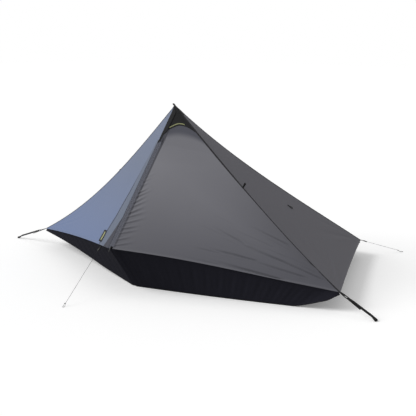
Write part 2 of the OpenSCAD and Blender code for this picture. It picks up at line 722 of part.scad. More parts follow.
// Guy cords: each runs from a cord lock on a webbing tab to a tied loop on the ground
front_tab_inset = 160;
front_tab_at = left_point(1, front_tab_inset);
front_route = [
    [-129.5, -659, 281], [-120, -691, 261], [-111, -722.5, 241], [-101.5, -754.5, 220.5], [-92.5, -786, 200.5],
    [-83, -818, 180.5], [-74, -850, 160.5], [-64.5, -881.5, 140], [-55.5, -913.5, 120], [-46, -945, 100],
    [-37, -977, 80], [-27.5, -1009, 59.5], [-18.5, -1040.5, 39.5], [-9, -1072.5, 19.5], [-3, -1082, 11],
    [2, -1090.5, 5], [4, -1098, 2], [0.5, -1103.5, 1.5], [-5.5, -1102.5, 1.5], [-10, -1096.5, 2.5],
    [-12.5, -1088, 7], [-14.5, -1078.5, 16]];
rear_route = [
    [793.5, 1386, 114.5], [807, 1409.5, 105.5], [820.5, 1433.5, 96.5], [834, 1457, 87.5], [847.5, 1480.5, 78.5],
    [861.5, 1504, 69.5], [875, 1528, 61], [888.5, 1551.5, 52], [902, 1575, 43], [915.5, 1599, 34],
    [929, 1622.5, 25], [942.5, 1646, 16], [951, 1653.5, 9], [960, 1660, 4], [967, 1669, 2], [969, 1679, 1.5],
    [964, 1686, 1.5], [956, 1684, 1.5], [949, 1676, 2.5], [943, 1666, 6.5], [938, 1656, 13]];
// Frame of a tab: x towards the cord, y across the webbing, z up
module tab_frame(from, to, side) {
    ex = unit(to - from);
    ey = unit(side - ex * (side * ex));
    placed(from, ex, ey, cross(ex, ey)) children();
}
// Pegs: in front of the front foot, and straight out from the pole beyond each rear corner
front_peg_out = 418;
rear_peg_out = 397;
front_peg = [0, -front_y - front_peg_out, 0];
rear_out = unit([rear_x, rear_y, 0]);
rear_peg = [rear_x, rear_y, 0] + rear_out * rear_peg_out;
module front_tab_frame() {
    tab_frame(front_tab_at, front_peg, front_foot - left_corner) children();
}
module rear_tab_frame(s) {
    mirror([s < 0 ? 1 : 0, 0, 0]) tab_frame(rear_right, rear_peg, [-rear_out.y, rear_out.x, 0]) children();
}
lock_bar = 3;
rear_seat = 0.6;
front_seat = 5.4;
lock_wrap = lock_bar / 2 + pass_gap + web_t / 2;
module tab_loop(seat) {
    path = concat(
        [[seat, tab_lift], [10, tab_lift], [18, lock_wrap]],
        arc([tab_l - lock_wrap, 0], lock_wrap, 90, -90),
        [[18, -lock_wrap], [10, -tab_lift], [seat, -tab_lift]]);
    webbing(path, tab_w);
}
lock_t = 7;
module cord_lock() {
    w = tab_w + 6;
    slot = lock_wrap + web_t / 2 + pass_gap;
    nose = lock_l - lock_bar / 2;
    translate([tab_l - lock_wrap, 0, 0]) {
        rotate([90, 0, 0]) cylinder(d = lock_bar, h = w, center = true);
        difference() {
            translate([0, w / 2, 0]) rotate([90, 0, 0]) linear_extrude(w)
                polygon([
                    [-lock_bar, -lock_bar * 0.7], [slot, -lock_t / 2], [nose * 0.7, -lock_t / 2], [nose, -lock_t / 3],
                    [nose, lock_t / 3], [nose * 0.7, lock_t / 2], [slot, lock_t / 2], [-lock_bar, lock_bar * 0.7]]);
            translate([-lock_t, -tab_w / 2 - 0.5, -lock_t]) cube([lock_t + slot, tab_w + 1, 2 * lock_t]);
            rotate([0, 90, 0]) cylinder(d = cord_d + 2 * pass_gap, h = 2 * lock_l);
        }
    }
}
module rear_tab_right() {
    color("black") rear_tab_frame(1) tab_loop(rear_seat);
}
module rear_tab_left() {
    color("black") rear_tab_frame(-1) tab_loop(rear_seat);
}
module front_tab() {
    color("black") front_tab_frame() tab_loop(front_seat);
}
module lock_rear_right() {
    color("black") rear_tab_frame(1) cord_lock();
}
module lock_rear_left() {
    color("black") rear_tab_frame(-1) cord_lock();
}
module lock_front() {
    color("black") front_tab_frame() cord_lock();
}
module rear_cord_right() {
    color("darkslategray") tube(rear_route, cord_d);
}
module front_cord() {
    color("darkslategray") tube(front_route, cord_d);
}

// Tie-outs: folded loops of narrow webbing on the side ridges and on the end and rear panels
tie_w = 12;
tie_r = 4;
module tie_loop() {
    path = concat(
        [[tab_lift, 0], [tab_lift, tie_out_l * 0.45], [tie_r, tie_out_l * 0.7]],
        arc([0, tie_out_l - tie_r], tie_r, 0, 180, 10),
        [[-tie_r, tie_out_l * 0.7], [-tab_lift, tie_out_l * 0.45], [-tab_lift, 0]]);
    webbing(path, tie_w);
}
ridge_tie_row = 6;
// A tie-out that nothing holds has fallen over to one side of its ridge
module ridge_tie_out(line, edge_a, edge_b, lean) {
    i = ridge_tie_row;
    up = ridge_up(line, i, edge_a, edge_b);
    ey = ridge_tangent(line, i);
    lift = seam_t / 2 + pass_gap + (tab_lift + web_t / 2) * sin(lean);
    placed(line[i] + up * lift, cross(ey, up), ey, up) rotate([0, lean, 0]) tie_loop();
}
module ridge_tie_out_right() {
    color("black") ridge_tie_out(right_ridge, yoke_edge, rear_right_ridge, 0);
}
module ridge_tie_out_left() {
    color("black") ridge_tie_out(left_ridge, front_edge, rear_left_ridge, 95);
}
// A panel tie-out lies on the cloth and its loop stands off at the lower end
module flat_tie_loop() {
    low = web_t / 2 + pass_gap;
    high = low + web_t + 0.2;
    path = concat(
        [[low, 0], [low, tie_out_l * 0.6]],
        arc([low + tie_r, tie_out_l - tie_r], tie_r, 180, 0, 10),
        [[low + 1.6 * tie_r, tie_out_l * 0.7], [high, tie_out_l * 0.4], [high, 0]]);
    webbing(path, tie_w);
}
panel_tie_row = 8.7;
module panel_tie_out(grid, k) {
    r = floor(panel_tie_row);
    c = floor(k * cols);
    top = lerp(grid[r][c], grid[r][c + 1], k * cols - c);
    low = lerp(grid[r + 1][c], grid[r + 1][c + 1], k * cols - c);
    z = unit(low - top);
    m = unit(cross(z, grid[r][c + 1] - grid[r][c]));
    n = m * sign(m.z);
    placed(lerp(top, low, panel_tie_row - r), n, cross(z, n), z) flat_tie_loop();
}
module panel_tie_out_right() {
    color("black") panel_tie_out(right_grid, 0.66);
}
module panel_tie_out_left() {
    color("black") panel_tie_out(left_grid, 0.34);
}
module panel_tie_out_rear() {
    color("black") panel_tie_out(rear_grid, 0.5);
}

// Pole: two tubes, the upper one topped by a plug in the pocket, and a clamp with a lever
upper_r = upper_d / 2;
lower_r = lower_d / 2;
nub_r = pocket_top_r - pocket_wall / 2 - pass_gap;
nub_top = pocket_top - pocket_wall - pass_gap;
plug_shoulder = nub_top - (upper_r - nub_r) * pocket_fall;
tube_top = plug_shoulder - 5;
plug_l = 25;
module pole_top_plug() {
    in_r = upper_r - tube_wall - run_gap;
    color("dimgray") rotate_extrude()
        polygon([
            [0, nub_top], [nub_r, nub_top], [upper_r, plug_shoulder], [upper_r, tube_top],
            [in_r, tube_top], [in_r, tube_top - plug_l], [0, tube_top - plug_l]]);
}
module pole_upper() {
    color("silver") translate([0, 0, joint_h]) difference() {
        cylinder(r = upper_r, h = tube_top - joint_h);
        translate([0, 0, -1]) cylinder(r = upper_r - tube_wall, h = tube_top - joint_h + 2);
    }
}
foot_floor = 8;
module pole_lower() {
    color("silver") translate([0, 0, foot_floor]) difference() {
        cylinder(r = lower_r, h = joint_h + tube_overlap - foot_floor);
        translate([0, 0, -1]) cylinder(r = lower_r - tube_wall, h = joint_h + tube_overlap);
    }
}
module rubber_foot() {
    r = lower_r + run_gap;
    color("black") rotate_extrude()
        polygon([
            [0, 0], [foot_d / 2 - 2, 0], [foot_d / 2, 2], [foot_d / 2, 6], [foot_d / 2 - 3, 10],
            [lower_r + 3.5, 14], [lower_r + 2, foot_h], [r, foot_h], [r, foot_floor], [0, foot_floor]]);
}
// Clamp: the collar grips the upper tube and guides the lower one; its lever turns on an upright pin
collar_r = collar_d / 2;
collar_grip = 0.65;
collar_base = joint_h - collar_h * (1 - collar_grip);
lug_h = 10;
lug_reach = 4.5;
pin_y = -collar_r - 3.2;
slit_w = 2.4;
lever_t = 3;
lever_gap = 0.5;
module clamp_collar() {
    color("black") difference() {
        union() {
            translate([0, 0, collar_base]) cylinder(r = collar_r, h = collar_h);
            for (z = [collar_base, collar_base + collar_h - lug_h]) {
                translate([-lug_reach, pin_y, z]) cube([2 * lug_reach, -pin_y - collar_r + 3, lug_h]);
                translate([0, pin_y, z]) cylinder(r = lug_reach, h = lug_h);
            }
        }
        translate([0, 0, joint_h - run_gap]) cylinder(r = upper_r + run_gap, h = collar_h);
        translate([0, 0, collar_base - 1]) cylinder(r = lower_r + pass_gap, h = collar_h);
        translate([-collar_d, -slit_w / 2, collar_base - 1]) cube([collar_d, slit_w, collar_h + 2]);
        translate([0, pin_y, collar_base - 1]) cylinder(d = pin_d + 2 * run_gap, h = collar_h + 2);
    }
}
module clamp_pin() {
    color("silver") translate([0, pin_y, collar_base]) cylinder(d = pin_d, h = collar_h);
}
module clamp_lever() {
    z0 = collar_base + lug_h + pass_gap;
    h = collar_h - 2 * (lug_h + pass_gap);
    in_r = collar_r + lever_gap;
    color("black") translate([0, 0, z0]) difference() {
        union() {
            translate([0, pin_y, 0]) cylinder(r = -pin_y - in_r, h = h);
            intersection() {
                difference() {
                    cylinder(r = in_r + lever_t, h = h);
                    translate([0, 0, -1]) cylinder(r = in_r, h = h + 2);
                }
                translate([0, -2 * collar_d, -1]) cube([4 * collar_d, 2 * collar_d + collar_r * 0.6, h + 2]);
            }
            translate([0, collar_r * 0.6, 0]) rotate([0, 0, 0])
                translate([sqrt(pow(in_r, 2) - pow(collar_r * 0.6, 2)) + 0.3, -0.5, 0]) cube([lever_t + 3, 4, h]);
        }
        translate([0, pin_y, -1]) cylinder(d = pin_d + 2 * run_gap, h = h + 2);
    }
}

front_left_panel();
front_yoke();
door_leaf();
right_panel();
left_panel();
rear_panel();
ridge_seam_right();
ridge_seam_left();
ridge_seam_rear_right();
ridge_seam_rear_left();
apex_cap();
apex_patch();
front_tape();
apex_loop();
pole_pocket();
zip_tape_left();
zip_tape_right();
zip_coil_left();
zip_coil_right();
zip_slider();
zip_pull();
zip_flap();
hem_tag();
net_door();
net_corner();
net_front_left();
net_right();
net_left();
net_rear();
net_binding_door();
net_binding();
corner_tab_right();
corner_tab_left();
buckle_right();
buckle_left();
strap_right();
strap_left();
rear_tab_right();
rear_tab_left();
front_tab();
lock_rear_right();
lock_rear_left();
lock_front();
rear_cord_right();
front_cord();
ridge_tie_out_right();
ridge_tie_out_left();
panel_tie_out_right();
panel_tie_out_left();
panel_tie_out_rear();
pole_top_plug();
pole_upper();
pole_lower();
rubber_foot();
clamp_collar();
clamp_pin();
clamp_lever();
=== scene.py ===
# %% [markdown]
# # A pyramid tarp shelter on one pole
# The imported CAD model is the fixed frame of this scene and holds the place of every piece. Cloth, netting, webbing and
# cord are drawn again in that frame, with their folds and threads, and the hard parts keep their CAD shape. Lengths are
# metres, and sizes that a maker would give in millimetres are multiplied by MM.

# %% Load the frame
import json
import math

import bpy
import numpy as np
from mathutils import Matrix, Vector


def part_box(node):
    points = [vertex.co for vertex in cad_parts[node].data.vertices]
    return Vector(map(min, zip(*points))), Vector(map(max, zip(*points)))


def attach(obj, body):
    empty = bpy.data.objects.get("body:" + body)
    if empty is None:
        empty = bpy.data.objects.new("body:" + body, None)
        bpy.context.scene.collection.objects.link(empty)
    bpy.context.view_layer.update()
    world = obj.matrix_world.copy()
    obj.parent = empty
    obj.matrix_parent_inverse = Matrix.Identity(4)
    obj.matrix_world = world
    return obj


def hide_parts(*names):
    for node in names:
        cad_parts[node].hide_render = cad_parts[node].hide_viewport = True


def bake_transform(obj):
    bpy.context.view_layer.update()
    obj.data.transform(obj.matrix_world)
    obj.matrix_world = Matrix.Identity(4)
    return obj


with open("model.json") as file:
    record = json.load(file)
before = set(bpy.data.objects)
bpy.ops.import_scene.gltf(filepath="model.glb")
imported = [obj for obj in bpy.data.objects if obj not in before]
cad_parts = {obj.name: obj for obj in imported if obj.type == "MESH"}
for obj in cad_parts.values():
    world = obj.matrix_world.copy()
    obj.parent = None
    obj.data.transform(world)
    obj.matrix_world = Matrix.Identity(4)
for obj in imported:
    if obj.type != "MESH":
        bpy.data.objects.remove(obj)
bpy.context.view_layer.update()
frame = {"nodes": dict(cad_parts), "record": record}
nodes = frame["nodes"]
MM = 0.001
bpy.ops.object.select_all(action="DESELECT")

# %% [markdown]
# ## Camera
# The view was solved from the photograph with the pole upright and both sides of the shelter alike. It gives the
# place of the lens, how far it looks down and round, and a focal length of about 80 mm on a 36 mm sensor.

# %% Camera at the photograph's place
CAMERA_AT, LOOK_DOWN, LOOK_ROUND = (4.4855, -4.9185, 1.83), 0.1979, 0.7037
SENSOR, FOCAL = 36, 79.88
bpy.ops.object.camera_add(location=CAMERA_AT, rotation=(math.pi / 2 - LOOK_DOWN, 0, LOOK_ROUND))
camera = bpy.context.object
camera.data.sensor_width, camera.data.lens = SENSOR, FOCAL
bpy.context.scene.camera = camera
print("camera", CAMERA_AT, camera.data.lens)

# %% [markdown]
# ## Guy cords
# Two thin cords hold the front hem and the rear right corner. Each leaves its cord lock, runs straight to the ground
# and ends in a tied loop for a peg. A cord under tension is a straight line, so the route is a few even steps, then the
# loop. A Bezier curve through those points with a round bevel is the plain way to draw it.

# %% Routes of the cords
FRONT_ROUTE = [
    (-129.5, -659, 281), (-120, -691, 261), (-111, -722.5, 241), (-101.5, -754.5, 220.5), (-92.5, -786, 200.5),
    (-83, -818, 180.5), (-74, -850, 160.5), (-64.5, -881.5, 140), (-55.5, -913.5, 120), (-46, -945, 100),
    (-37, -977, 80), (-27.5, -1009, 59.5), (-18.5, -1040.5, 39.5), (-9, -1072.5, 19.5), (-3, -1082, 11),
    (2, -1090.5, 5), (4, -1098, 2), (0.5, -1103.5, 1.5), (-5.5, -1102.5, 1.5), (-10, -1096.5, 2.5),
    (-12.5, -1088, 7), (-14.5, -1078.5, 16)]
REAR_ROUTE = [
    (793.5, 1386, 114.5), (807, 1409.5, 105.5), (820.5, 1433.5, 96.5), (834, 1457, 87.5), (847.5, 1480.5, 78.5),
    (861.5, 1504, 69.5), (875, 1528, 61), (888.5, 1551.5, 52), (902, 1575, 43), (915.5, 1599, 34),
    (929, 1622.5, 25), (942.5, 1646, 16), (951, 1653.5, 9), (960, 1660, 4), (967, 1669, 2), (969, 1679, 1.5),
    (964, 1686, 1.5), (956, 1684, 1.5), (949, 1676, 2.5), (943, 1666, 6.5), (938, 1656, 13)]
FRONT_KNOT, REAR_KNOT = 13, 11
CORD_DIAMETER = 2 * MM


def run_along(line):
    """Distance from a line's start to each of its points."""
    return np.concatenate([[0], np.cumsum(np.linalg.norm(np.diff(line, axis=0), axis=1))])


def curve_piece(name, points, radius, kind="BEZIER", sides=3):
    """A round cord or thread through the points."""
    data = bpy.data.curves.new(name, "CURVE")
    data.dimensions, data.use_fill_caps = "3D", True
    data.bevel_depth, data.bevel_resolution = radius, sides
    spline = data.splines.new(kind)
    places = spline.bezier_points if kind == "BEZIER" else spline.points
    places.add(len(points) - 1)
    for place, point in zip(places, points):
        if kind == "BEZIER":
            place.co = point
            place.handle_left_type = place.handle_right_type = "AUTO"
        else:
            place.co = (*point, 1)
    piece = bpy.data.objects.new(name, data)
    bpy.context.collection.objects.link(piece)
    return piece


cord_points = {"front_cord": (np.array(FRONT_ROUTE) * MM, FRONT_KNOT),
               "rear_cord_right": (np.array(REAR_ROUTE) * MM, REAR_KNOT)}
cords = {name: curve_piece("guy_" + name, points, CORD_DIAMETER / 2) for name, (points, _) in cord_points.items()}

# %% [markdown]
# The knot that closes each loop is four turns of the same cord round both strands. A short helix along the cord
# gives it, turned into a mesh because it is a fixed lump.

# %% Knots
KNOT_TURNS, KNOT_STEPS = 4, 14
KNOT_RADIUS, KNOT_FLAT, KNOT_PITCH = 2.6 * MM, 0.8, 0.95 * CORD_DIAMETER


def pick(piece):
    """Select one piece and nothing else, which is what Blender's operators work on."""
    bpy.ops.object.select_all(action="DESELECT")
    piece.select_set(True)
    bpy.context.view_layer.objects.active = piece


def as_mesh(piece):
    pick(piece)
    bpy.ops.object.convert(target="MESH")
    return bpy.context.object


def unit(v):
    return np.asarray(v, float) / np.linalg.norm(v)


def knot(name, centre, axis):
    axis = unit(axis)
    side = unit(np.cross(axis, (0.1, 0.2, 1)))
    turns = np.linspace(0, KNOT_TURNS, KNOT_TURNS * KNOT_STEPS + 1)
    angle = 2 * math.pi * turns
    ring = np.outer(np.cos(angle), side) + np.outer(np.sin(angle) * KNOT_FLAT, np.cross(axis, side))
    points = centre + np.outer((turns - KNOT_TURNS / 2) * KNOT_PITCH, axis) + KNOT_RADIUS * ring
    return as_mesh(curve_piece(name, points, CORD_DIAMETER / 2, "POLY", 2))


knots = {name: knot("knot_" + name, (points[at] + points[-1]) / 2, points[at] - points[at - 1])
         for name, (points, at) in cord_points.items()}
print("knots", [len(k.data.polygons) for k in knots.values()])

# %% [markdown]
# ## Shape of the canopy
# Five ridges run from the peak to the corners, and each sags a little under the cloth's pull. A panel is a sheet of
# straight threads between two ridges, and its hem is cut as a shallow arch so that it pulls tight.

# %% Corners and ridges
PEAK = np.array([0, 0, 1.25])
FRONT_FOOT = np.array([0, -0.685, 0.32])
RIGHT_CORNER = np.array([1.45, -0.03, 0.137])
REAR_RIGHT = np.array([0.77, 1.345, 0.13])
OTHER_SIDE = np.array([-1, 1, 1])
LEFT_CORNER, REAR_LEFT = RIGHT_CORNER * OTHER_SIDE, REAR_RIGHT * OTHER_SIDE
UP, LEVEL = np.array([0, 0, 1]), np.array([1, 1, 0])
CAP_LENGTH, ZIP_DROP = 40 * MM, 290 * MM
# A ridge's sag, how far that leans towards the corner, and how far the ridge is set back
SIDE_BEND, REAR_BEND = (60 * MM, 0.36, 42 * MM), (41 * MM, -0.5, 0)
SEAM_TRIM = 1.5 * MM
END_RISE, FRONT_RISE = 7 * MM, 18 * MM


def mix(a, b, k):
    return a + (b - a) * k


def ease(x):
    x = np.clip(x, 0, 1)
    return x * x * (3 - 2 * x)


def length(v):
    return np.linalg.norm(v, axis=-1, keepdims=True)


def along_ridge(corner, v):
    """Share of the way from the peak to a corner, for v from the cap's edge to the hem."""
    return mix(CAP_LENGTH / np.linalg.norm(corner - PEAK), 1, np.asarray(v, float))[..., None]


def ridge_sag(corner, v, sag, skew, back):
    c = unit(corner - PEAK)
    up = unit(UP - c * c[2])
    t = along_ridge(corner, v)
    return 4 * t * (1 - t) * (1 + skew * (2 * t - 1)) * (np.array([0, back, 0]) - sag * up)


def straight_ridge(corner, v):
    return PEAK + along_ridge(corner, v) * (corner - PEAK)


def ridge(corner, bend):
    return lambda v: straight_ridge(corner, v) + ridge_sag(corner, v, *bend)


def front_edge(v):
    return straight_ridge(FRONT_FOOT, v)


def panel(edge_a, edge_b, arch, u, v):
    """Points of a panel: u runs from edge a to edge b, v from the peak cap to the hem."""
    a, b = edge_a(v), edge_b(v)
    trim = SEAM_TRIM / length(b - a)
    return mix(a, b, mix(trim, 1 - trim, u[..., None])) + arch * (v ** 3 * 4 * u * (1 - u))[..., None]


def hem_arch(corner_a, corner_b):
    """Rise of a hem's middle. The two ends, with both corners on one side, are cut flatter than front and rear."""
    rise = END_RISE if corner_a[0] * corner_b[0] > 0.5 else FRONT_RISE
    return rise * unit(PEAK - mix(corner_a, corner_b, 0.5))


right_ridge, left_ridge = ridge(RIGHT_CORNER, SIDE_BEND), ridge(LEFT_CORNER, SIDE_BEND)
rear_right_ridge, rear_left_ridge = ridge(REAR_RIGHT, REAR_BEND), ridge(REAR_LEFT, REAR_BEND)
print("right ridge", right_ridge(np.array([0, 0.5, 1])).round(3).tolist())

# %% [markdown]
# ## Sheets
# Every flat soft piece starts as Blender's own grid primitive. Its vertices are then put where the cloth goes, and it
# gets two UV maps in metres: one for the weave, and one that measures from the hem for the stitching. Solidify
# gives it a real thickness at the end, inwards, so that the outside stays where the CAD puts it.

# %% Grids that become cloth
# Edges sharper than the first angle are rounded, and those flatter than the second are shaded smooth
ROUND_OVER, SMOOTH_UNDER = 60, 50


def lattice(rows, columns):
    """The row value and the column value of every point of a grid."""
    return np.meshgrid(rows, columns, indexing="ij")


def pair_up(a, b):
    return np.stack(np.broadcast_arrays(a, b), axis=-1)


def lay_grid(name, points, outward, weave, hem, **marks):
    """A grid at the points, facing outward. A mark is a number for each point, which a material reads by its name."""
    r, c = points.shape[0] // 2, points.shape[1] // 2
    normal = np.cross(points[r, c + 1] - points[r, c], points[r + 1, c] - points[r, c])
    if normal @ outward <= 0:
        points, weave, hem = points[:, ::-1], weave[:, ::-1], hem[:, ::-1]
        marks = {key: values[:, ::-1] for key, values in marks.items()}
    rows, columns = points.shape[:2]
    bpy.ops.object.select_all(action="DESELECT")
    bpy.ops.mesh.primitive_grid_add(x_subdivisions=columns - 1, y_subdivisions=rows - 1, size=1)
    piece = bpy.context.object
    mesh = piece.data
    piece.name = mesh.name = name
    mesh.vertices.foreach_set("co", np.ascontiguousarray(points, np.float32).ravel())
    corner = np.empty(len(mesh.loops), np.int32)
    mesh.loops.foreach_get("vertex_index", corner)
    mesh.uv_layers.active.name = "weave"
    mesh.uv_layers.new(name="hem")
    for key, values in (("weave", weave), ("hem", hem)):
        flat = np.ascontiguousarray(values, np.float32).reshape(-1, 2)
        mesh.uv_layers[key].data.foreach_set("uv", flat[corner].ravel())
    for key, values in marks.items():
        attribute = mesh.attributes.new(key, "FLOAT", "POINT")
        attribute.data.foreach_set("value", np.ascontiguousarray(values, np.float32).ravel())
    mesh.update()
    return piece


def change(piece, kind, **settings):
    """Put a modifier on the active piece and apply it."""
    tool = piece.modifiers.new("change", kind)
    for key, value in settings.items():
        setattr(tool, key, value)
    bpy.ops.object.modifier_apply(modifier="change")


def break_edges(piece, width, angle):
    change(piece, "BEVEL", width=width, segments=2, limit_method="ANGLE", angle_limit=math.radians(angle))


def finish_sheet(piece, thickness, offset=-1.0, rounding=0.0):
    """Thickness, rounded edges where they show, and smooth shading."""
    pick(piece)
    change(piece, "SOLIDIFY", thickness=thickness, offset=offset)
    if rounding:
        break_edges(piece, rounding, ROUND_OVER)
    bpy.ops.object.shade_smooth_by_angle(angle=math.radians(SMOOTH_UNDER))
    return piece


def merge_points(gap, flat_within=0.0):
    """Join points of the active piece that lie closer than the gap, and faces that are flat within an angle."""
    bpy.ops.object.mode_set(mode="EDIT")
    bpy.ops.mesh.select_all(action="SELECT")
    bpy.ops.mesh.remove_doubles(threshold=gap)
    if flat_within:
        bpy.ops.mesh.dissolve_limited(angle_limit=math.radians(flat_within))
    bpy.ops.object.mode_set(mode="OBJECT")


print("grid values", [a.tolist() for a in lattice([0, 1], [5, 6])])

# %% [markdown]
# Three measures are asked of every grid: which way it faces at each point, how far a point lies along the hem and above
# it, and where it lies on a flat plane. The hem itself is turned up twice, so it gets close rows and a small step.

# %% Measures of a grid, and the rolled hem
HEM_STEPS = np.array([17, 15.5, 14, 12.5, 9, 5, 2, 0]) * MM
HEM_STANDS, HEM_TOP, HEM_SLOPE = 0.9 * MM, 15.5 * MM, 2.5 * MM


def units(v):
    """Each vector of an array, made one long."""
    return v / np.maximum(length(v), 1e-12)


def grid_normals(points, outward):
    n = units(np.cross(np.gradient(points, axis=1), np.gradient(points, axis=0)))
    return n * np.sign(np.sum(n * outward, axis=-1, keepdims=True))


def hem_map(points):
    """Distance along the hem and above it."""
    hem = points[-1]
    tangent = units(np.gradient(hem, axis=0))
    rise = points - hem
    along = np.sum(rise * tangent, axis=-1)
    return pair_up(run_along(hem) + along, np.linalg.norm(rise - along[..., None] * tangent, axis=-1))


def flat_map(points, origin, across, up):
    return pair_up((points - origin) @ across, (points - origin) @ up)


def rows_to_hem(count, reach, crowd=1.0):
    """Even rows down the panel, or rows that crowd towards the hem, then close ones for the rolled hem."""
    near = 1 - HEM_STEPS / reach
    rows = 1 - (1 - np.linspace(0, 1, count)[:-1]) ** crowd
    return np.concatenate([rows * near[0], near])


def rolled_hem(above):
    return HEM_STANDS * ease((HEM_TOP - above) / HEM_SLOPE)


print("hem rows", rows_to_hem(6, 1.5).round(4).tolist())

# %% [markdown]
# ## Folds in taut cloth
# Taut cloth is not flat. Pull on a corner spreads out in a fan of shallow ridges, and a sewn edge that is shorter than
# the cloth beside it puckers. Both are shallow waves with soft ends, so they are added as heights on the grid. A
# cloth simulation would give waves too, but not in the places that the photograph shows.

# %% Fans and puckers
FAN_START, FAN_GROWS = 25 * MM, 0.2


def corner_fan(points, corner, edge_a, edge_b, ridges, height, reach, shift):
    """Heights of the fan of folds that spreads from a corner between two edges."""
    a, b = unit(edge_a - corner), unit(edge_b - corner)
    side = unit(b - a * (a @ b))
    spread = math.acos(np.clip(a @ b, -1, 1))
    q = points - corner
    r = np.linalg.norm(q, axis=-1)
    s = np.clip(np.arctan2(q @ side, q @ a) / spread, 0, 1)
    wave = sum(part * np.sin(2 * math.pi * (count * ridges * s + at))
               for part, count, at in ((1, 1, shift), (0.6, 1.7, 0.31 + shift), (0.5, 0.6, 0.77 - shift)))
    body = ease((r - FAN_START) / FAN_GROWS) * (1 - ease((r - 0.25 * reach) / (0.75 * reach)))
    return height * wave * np.sqrt(np.sin(math.pi * s)) * body


def fold_lines(place, folds):
    """Heights of single folds: each has a start, an angle in degrees, a length, a half width and a height."""
    x, y = place[..., 0], place[..., 1]
    height = np.zeros_like(x)
    for x0, y0, angle, run, half, rise in folds:
        c, s = math.cos(math.radians(angle)), math.sin(math.radians(angle))
        k = ((x - x0) * c + (y - y0) * s) / run
        spread = half * (0.7 + 0.6 * np.clip(k, 0, 1))
        q = (((y - y0) * c - (x - x0) * s) / spread) ** 2
        height += rise * ease(k / 0.12) * (1 - ease((k - 0.3) / 0.7)) * (1 - q) * np.exp(-q / 2)
    return height


def slack(points, seed, height, size):
    """Slow waves over a whole sheet, from a few fixed directions."""
    total = np.zeros(points.shape[:2])
    for a, b in np.random.default_rng(seed).uniform(0, 2 * math.pi, (5, 2)):
        direction = np.array([math.cos(a), math.sin(a), 0.6 * math.sin(b)])
        total += np.sin(2 * math.pi * (points @ direction) / (size * (0.7 + 0.12 * b)) + 3 * b)
    return height * total / 3


print("fold height at its middle", fold_lines(np.array([[0.05, 0.0]]), [(0, 0, 0, 0.2, 10 * MM, 2 * MM)]))

# %% [markdown]
# ## Left front panel
# Cloth between the left ridge and the front edge, painted slate blue and lighter than the grey panels: painted blue sky
# light on the shelter's grey cloth. Beside the zip it is faced with a second layer that widens towards the hem, painted
# a little greyer as painted shade, for less light through two layers. A number on each point says how much of it is
# doubled.

# %% Left front panel
CLOTH, SLACK = 0.8 * MM, 1.2 * MM
PANEL_DOWN, SLACK_SIZE = 1.45, 0.9
LEFT_SEED = 3
EDGE_LENGTH = float(np.linalg.norm(FRONT_FOOT - front_edge(np.array([0.0]))[0]))
FACING_FOOT, FACING_RUN = 215 * MM, 950 * MM


def middle_normal(corner_a, corner_b):
    n = unit(np.cross(corner_a - PEAK, corner_b - PEAK))
    return n * np.sign(n[2])


def panel_height(points, u, v, folds, seed):
    """Folds and slack of a panel. They die out at the seams and under the peak cap."""
    still = np.sqrt(np.sin(math.pi * np.clip(u, 0, 1))) * ease(v / 0.12)
    return (folds(points) + slack(points, seed, SLACK, SLACK_SIZE)) * still


def make_panel(name, edges, corners, folds, seed, counts=(130, 120), doubled=None):
    """A whole panel with its arch, folds, rolled hem and thickness."""
    outward = middle_normal(*corners)
    v, u = lattice(rows_to_hem(counts[0], PANEL_DOWN), np.linspace(0, 1, counts[1]))
    points = panel(*edges, hem_arch(*corners), u, v)
    hem = hem_map(points)
    side = unit(corners[1] - corners[0])
    weave = flat_map(points, corners[0], side, unit(np.cross(outward, side)))
    height = rolled_hem(hem[..., 1]) + panel_height(points, u, v, folds, seed)
    points = points + grid_normals(points, outward) * height[..., None]
    marks = {"doubled": doubled(u, v)} if doubled else {}
    return finish_sheet(lay_grid(name, points, outward, weave, hem, **marks), CLOTH)


def facing_width(t):
    """Width of the facing, for t down the front edge from the cap to the hem."""
    return FACING_FOOT * np.clip(1 - (1 - t) * EDGE_LENGTH / FACING_RUN, 0, 1)


def left_facing(u, v):
    from_edge = (1 - u) * length(front_edge(v) - left_ridge(v))[..., 0]
    below_top = ease((v * EDGE_LENGTH + CAP_LENGTH - ZIP_DROP) / (60 * MM))
    return below_top * ease((facing_width(v) - from_edge) / (14 * MM) + 0.5)


def left_front_folds(points):
    return (corner_fan(points, LEFT_CORNER, PEAK, FRONT_FOOT, 4, 2.2 * MM, 0.8, 0.2)
            + corner_fan(points, FRONT_FOOT, PEAK, LEFT_CORNER, 3, 1.4 * MM, 0.6, 0.6))


left_out = middle_normal(LEFT_CORNER, FRONT_FOOT)
left_front = make_panel("left_front_cloth", (left_ridge, front_edge), (LEFT_CORNER, FRONT_FOOT), left_front_folds,
                        LEFT_SEED, (150, 150), left_facing)
print("left front", len(left_front.data.polygons))

# %% [markdown]
# ## Right front: one sheet across the door's fold
# The cloth from the right ridge to the zip is one piece. Below a straight line from the zip's top to the hem near the
# right corner it is the door, which folds back. So this is one grid. It leaves the ridge's sag behind smoothly and is
# flat beside the zip.

# %% Frame of the zip and the door's fold
FOLD_INSET, ZIP_WIDTH = 110 * MM, 28 * MM
HEM_RISE, HEM_LEAN = 15 * MM, 5 * MM
# The sag is gone at this many times the fold's own share of the panel's width
SAG_ENDS = 1.6
zip_down = unit(FRONT_FOOT - PEAK)
zip_top = PEAK + ZIP_DROP * zip_down
ZIP_LENGTH = np.linalg.norm(FRONT_FOOT - zip_top) / MM
hem_back = unit(FRONT_FOOT - RIGHT_CORNER)
fold_foot = RIGHT_CORNER + FOLD_INSET * hem_back
hem_run = unit(fold_foot - FRONT_FOOT)
zip_across = unit(hem_run - zip_down * (hem_run @ zip_down))
door_out = np.cross(zip_across, -zip_down)
ZIP_TRIM = ZIP_WIDTH / (hem_run @ zip_across)


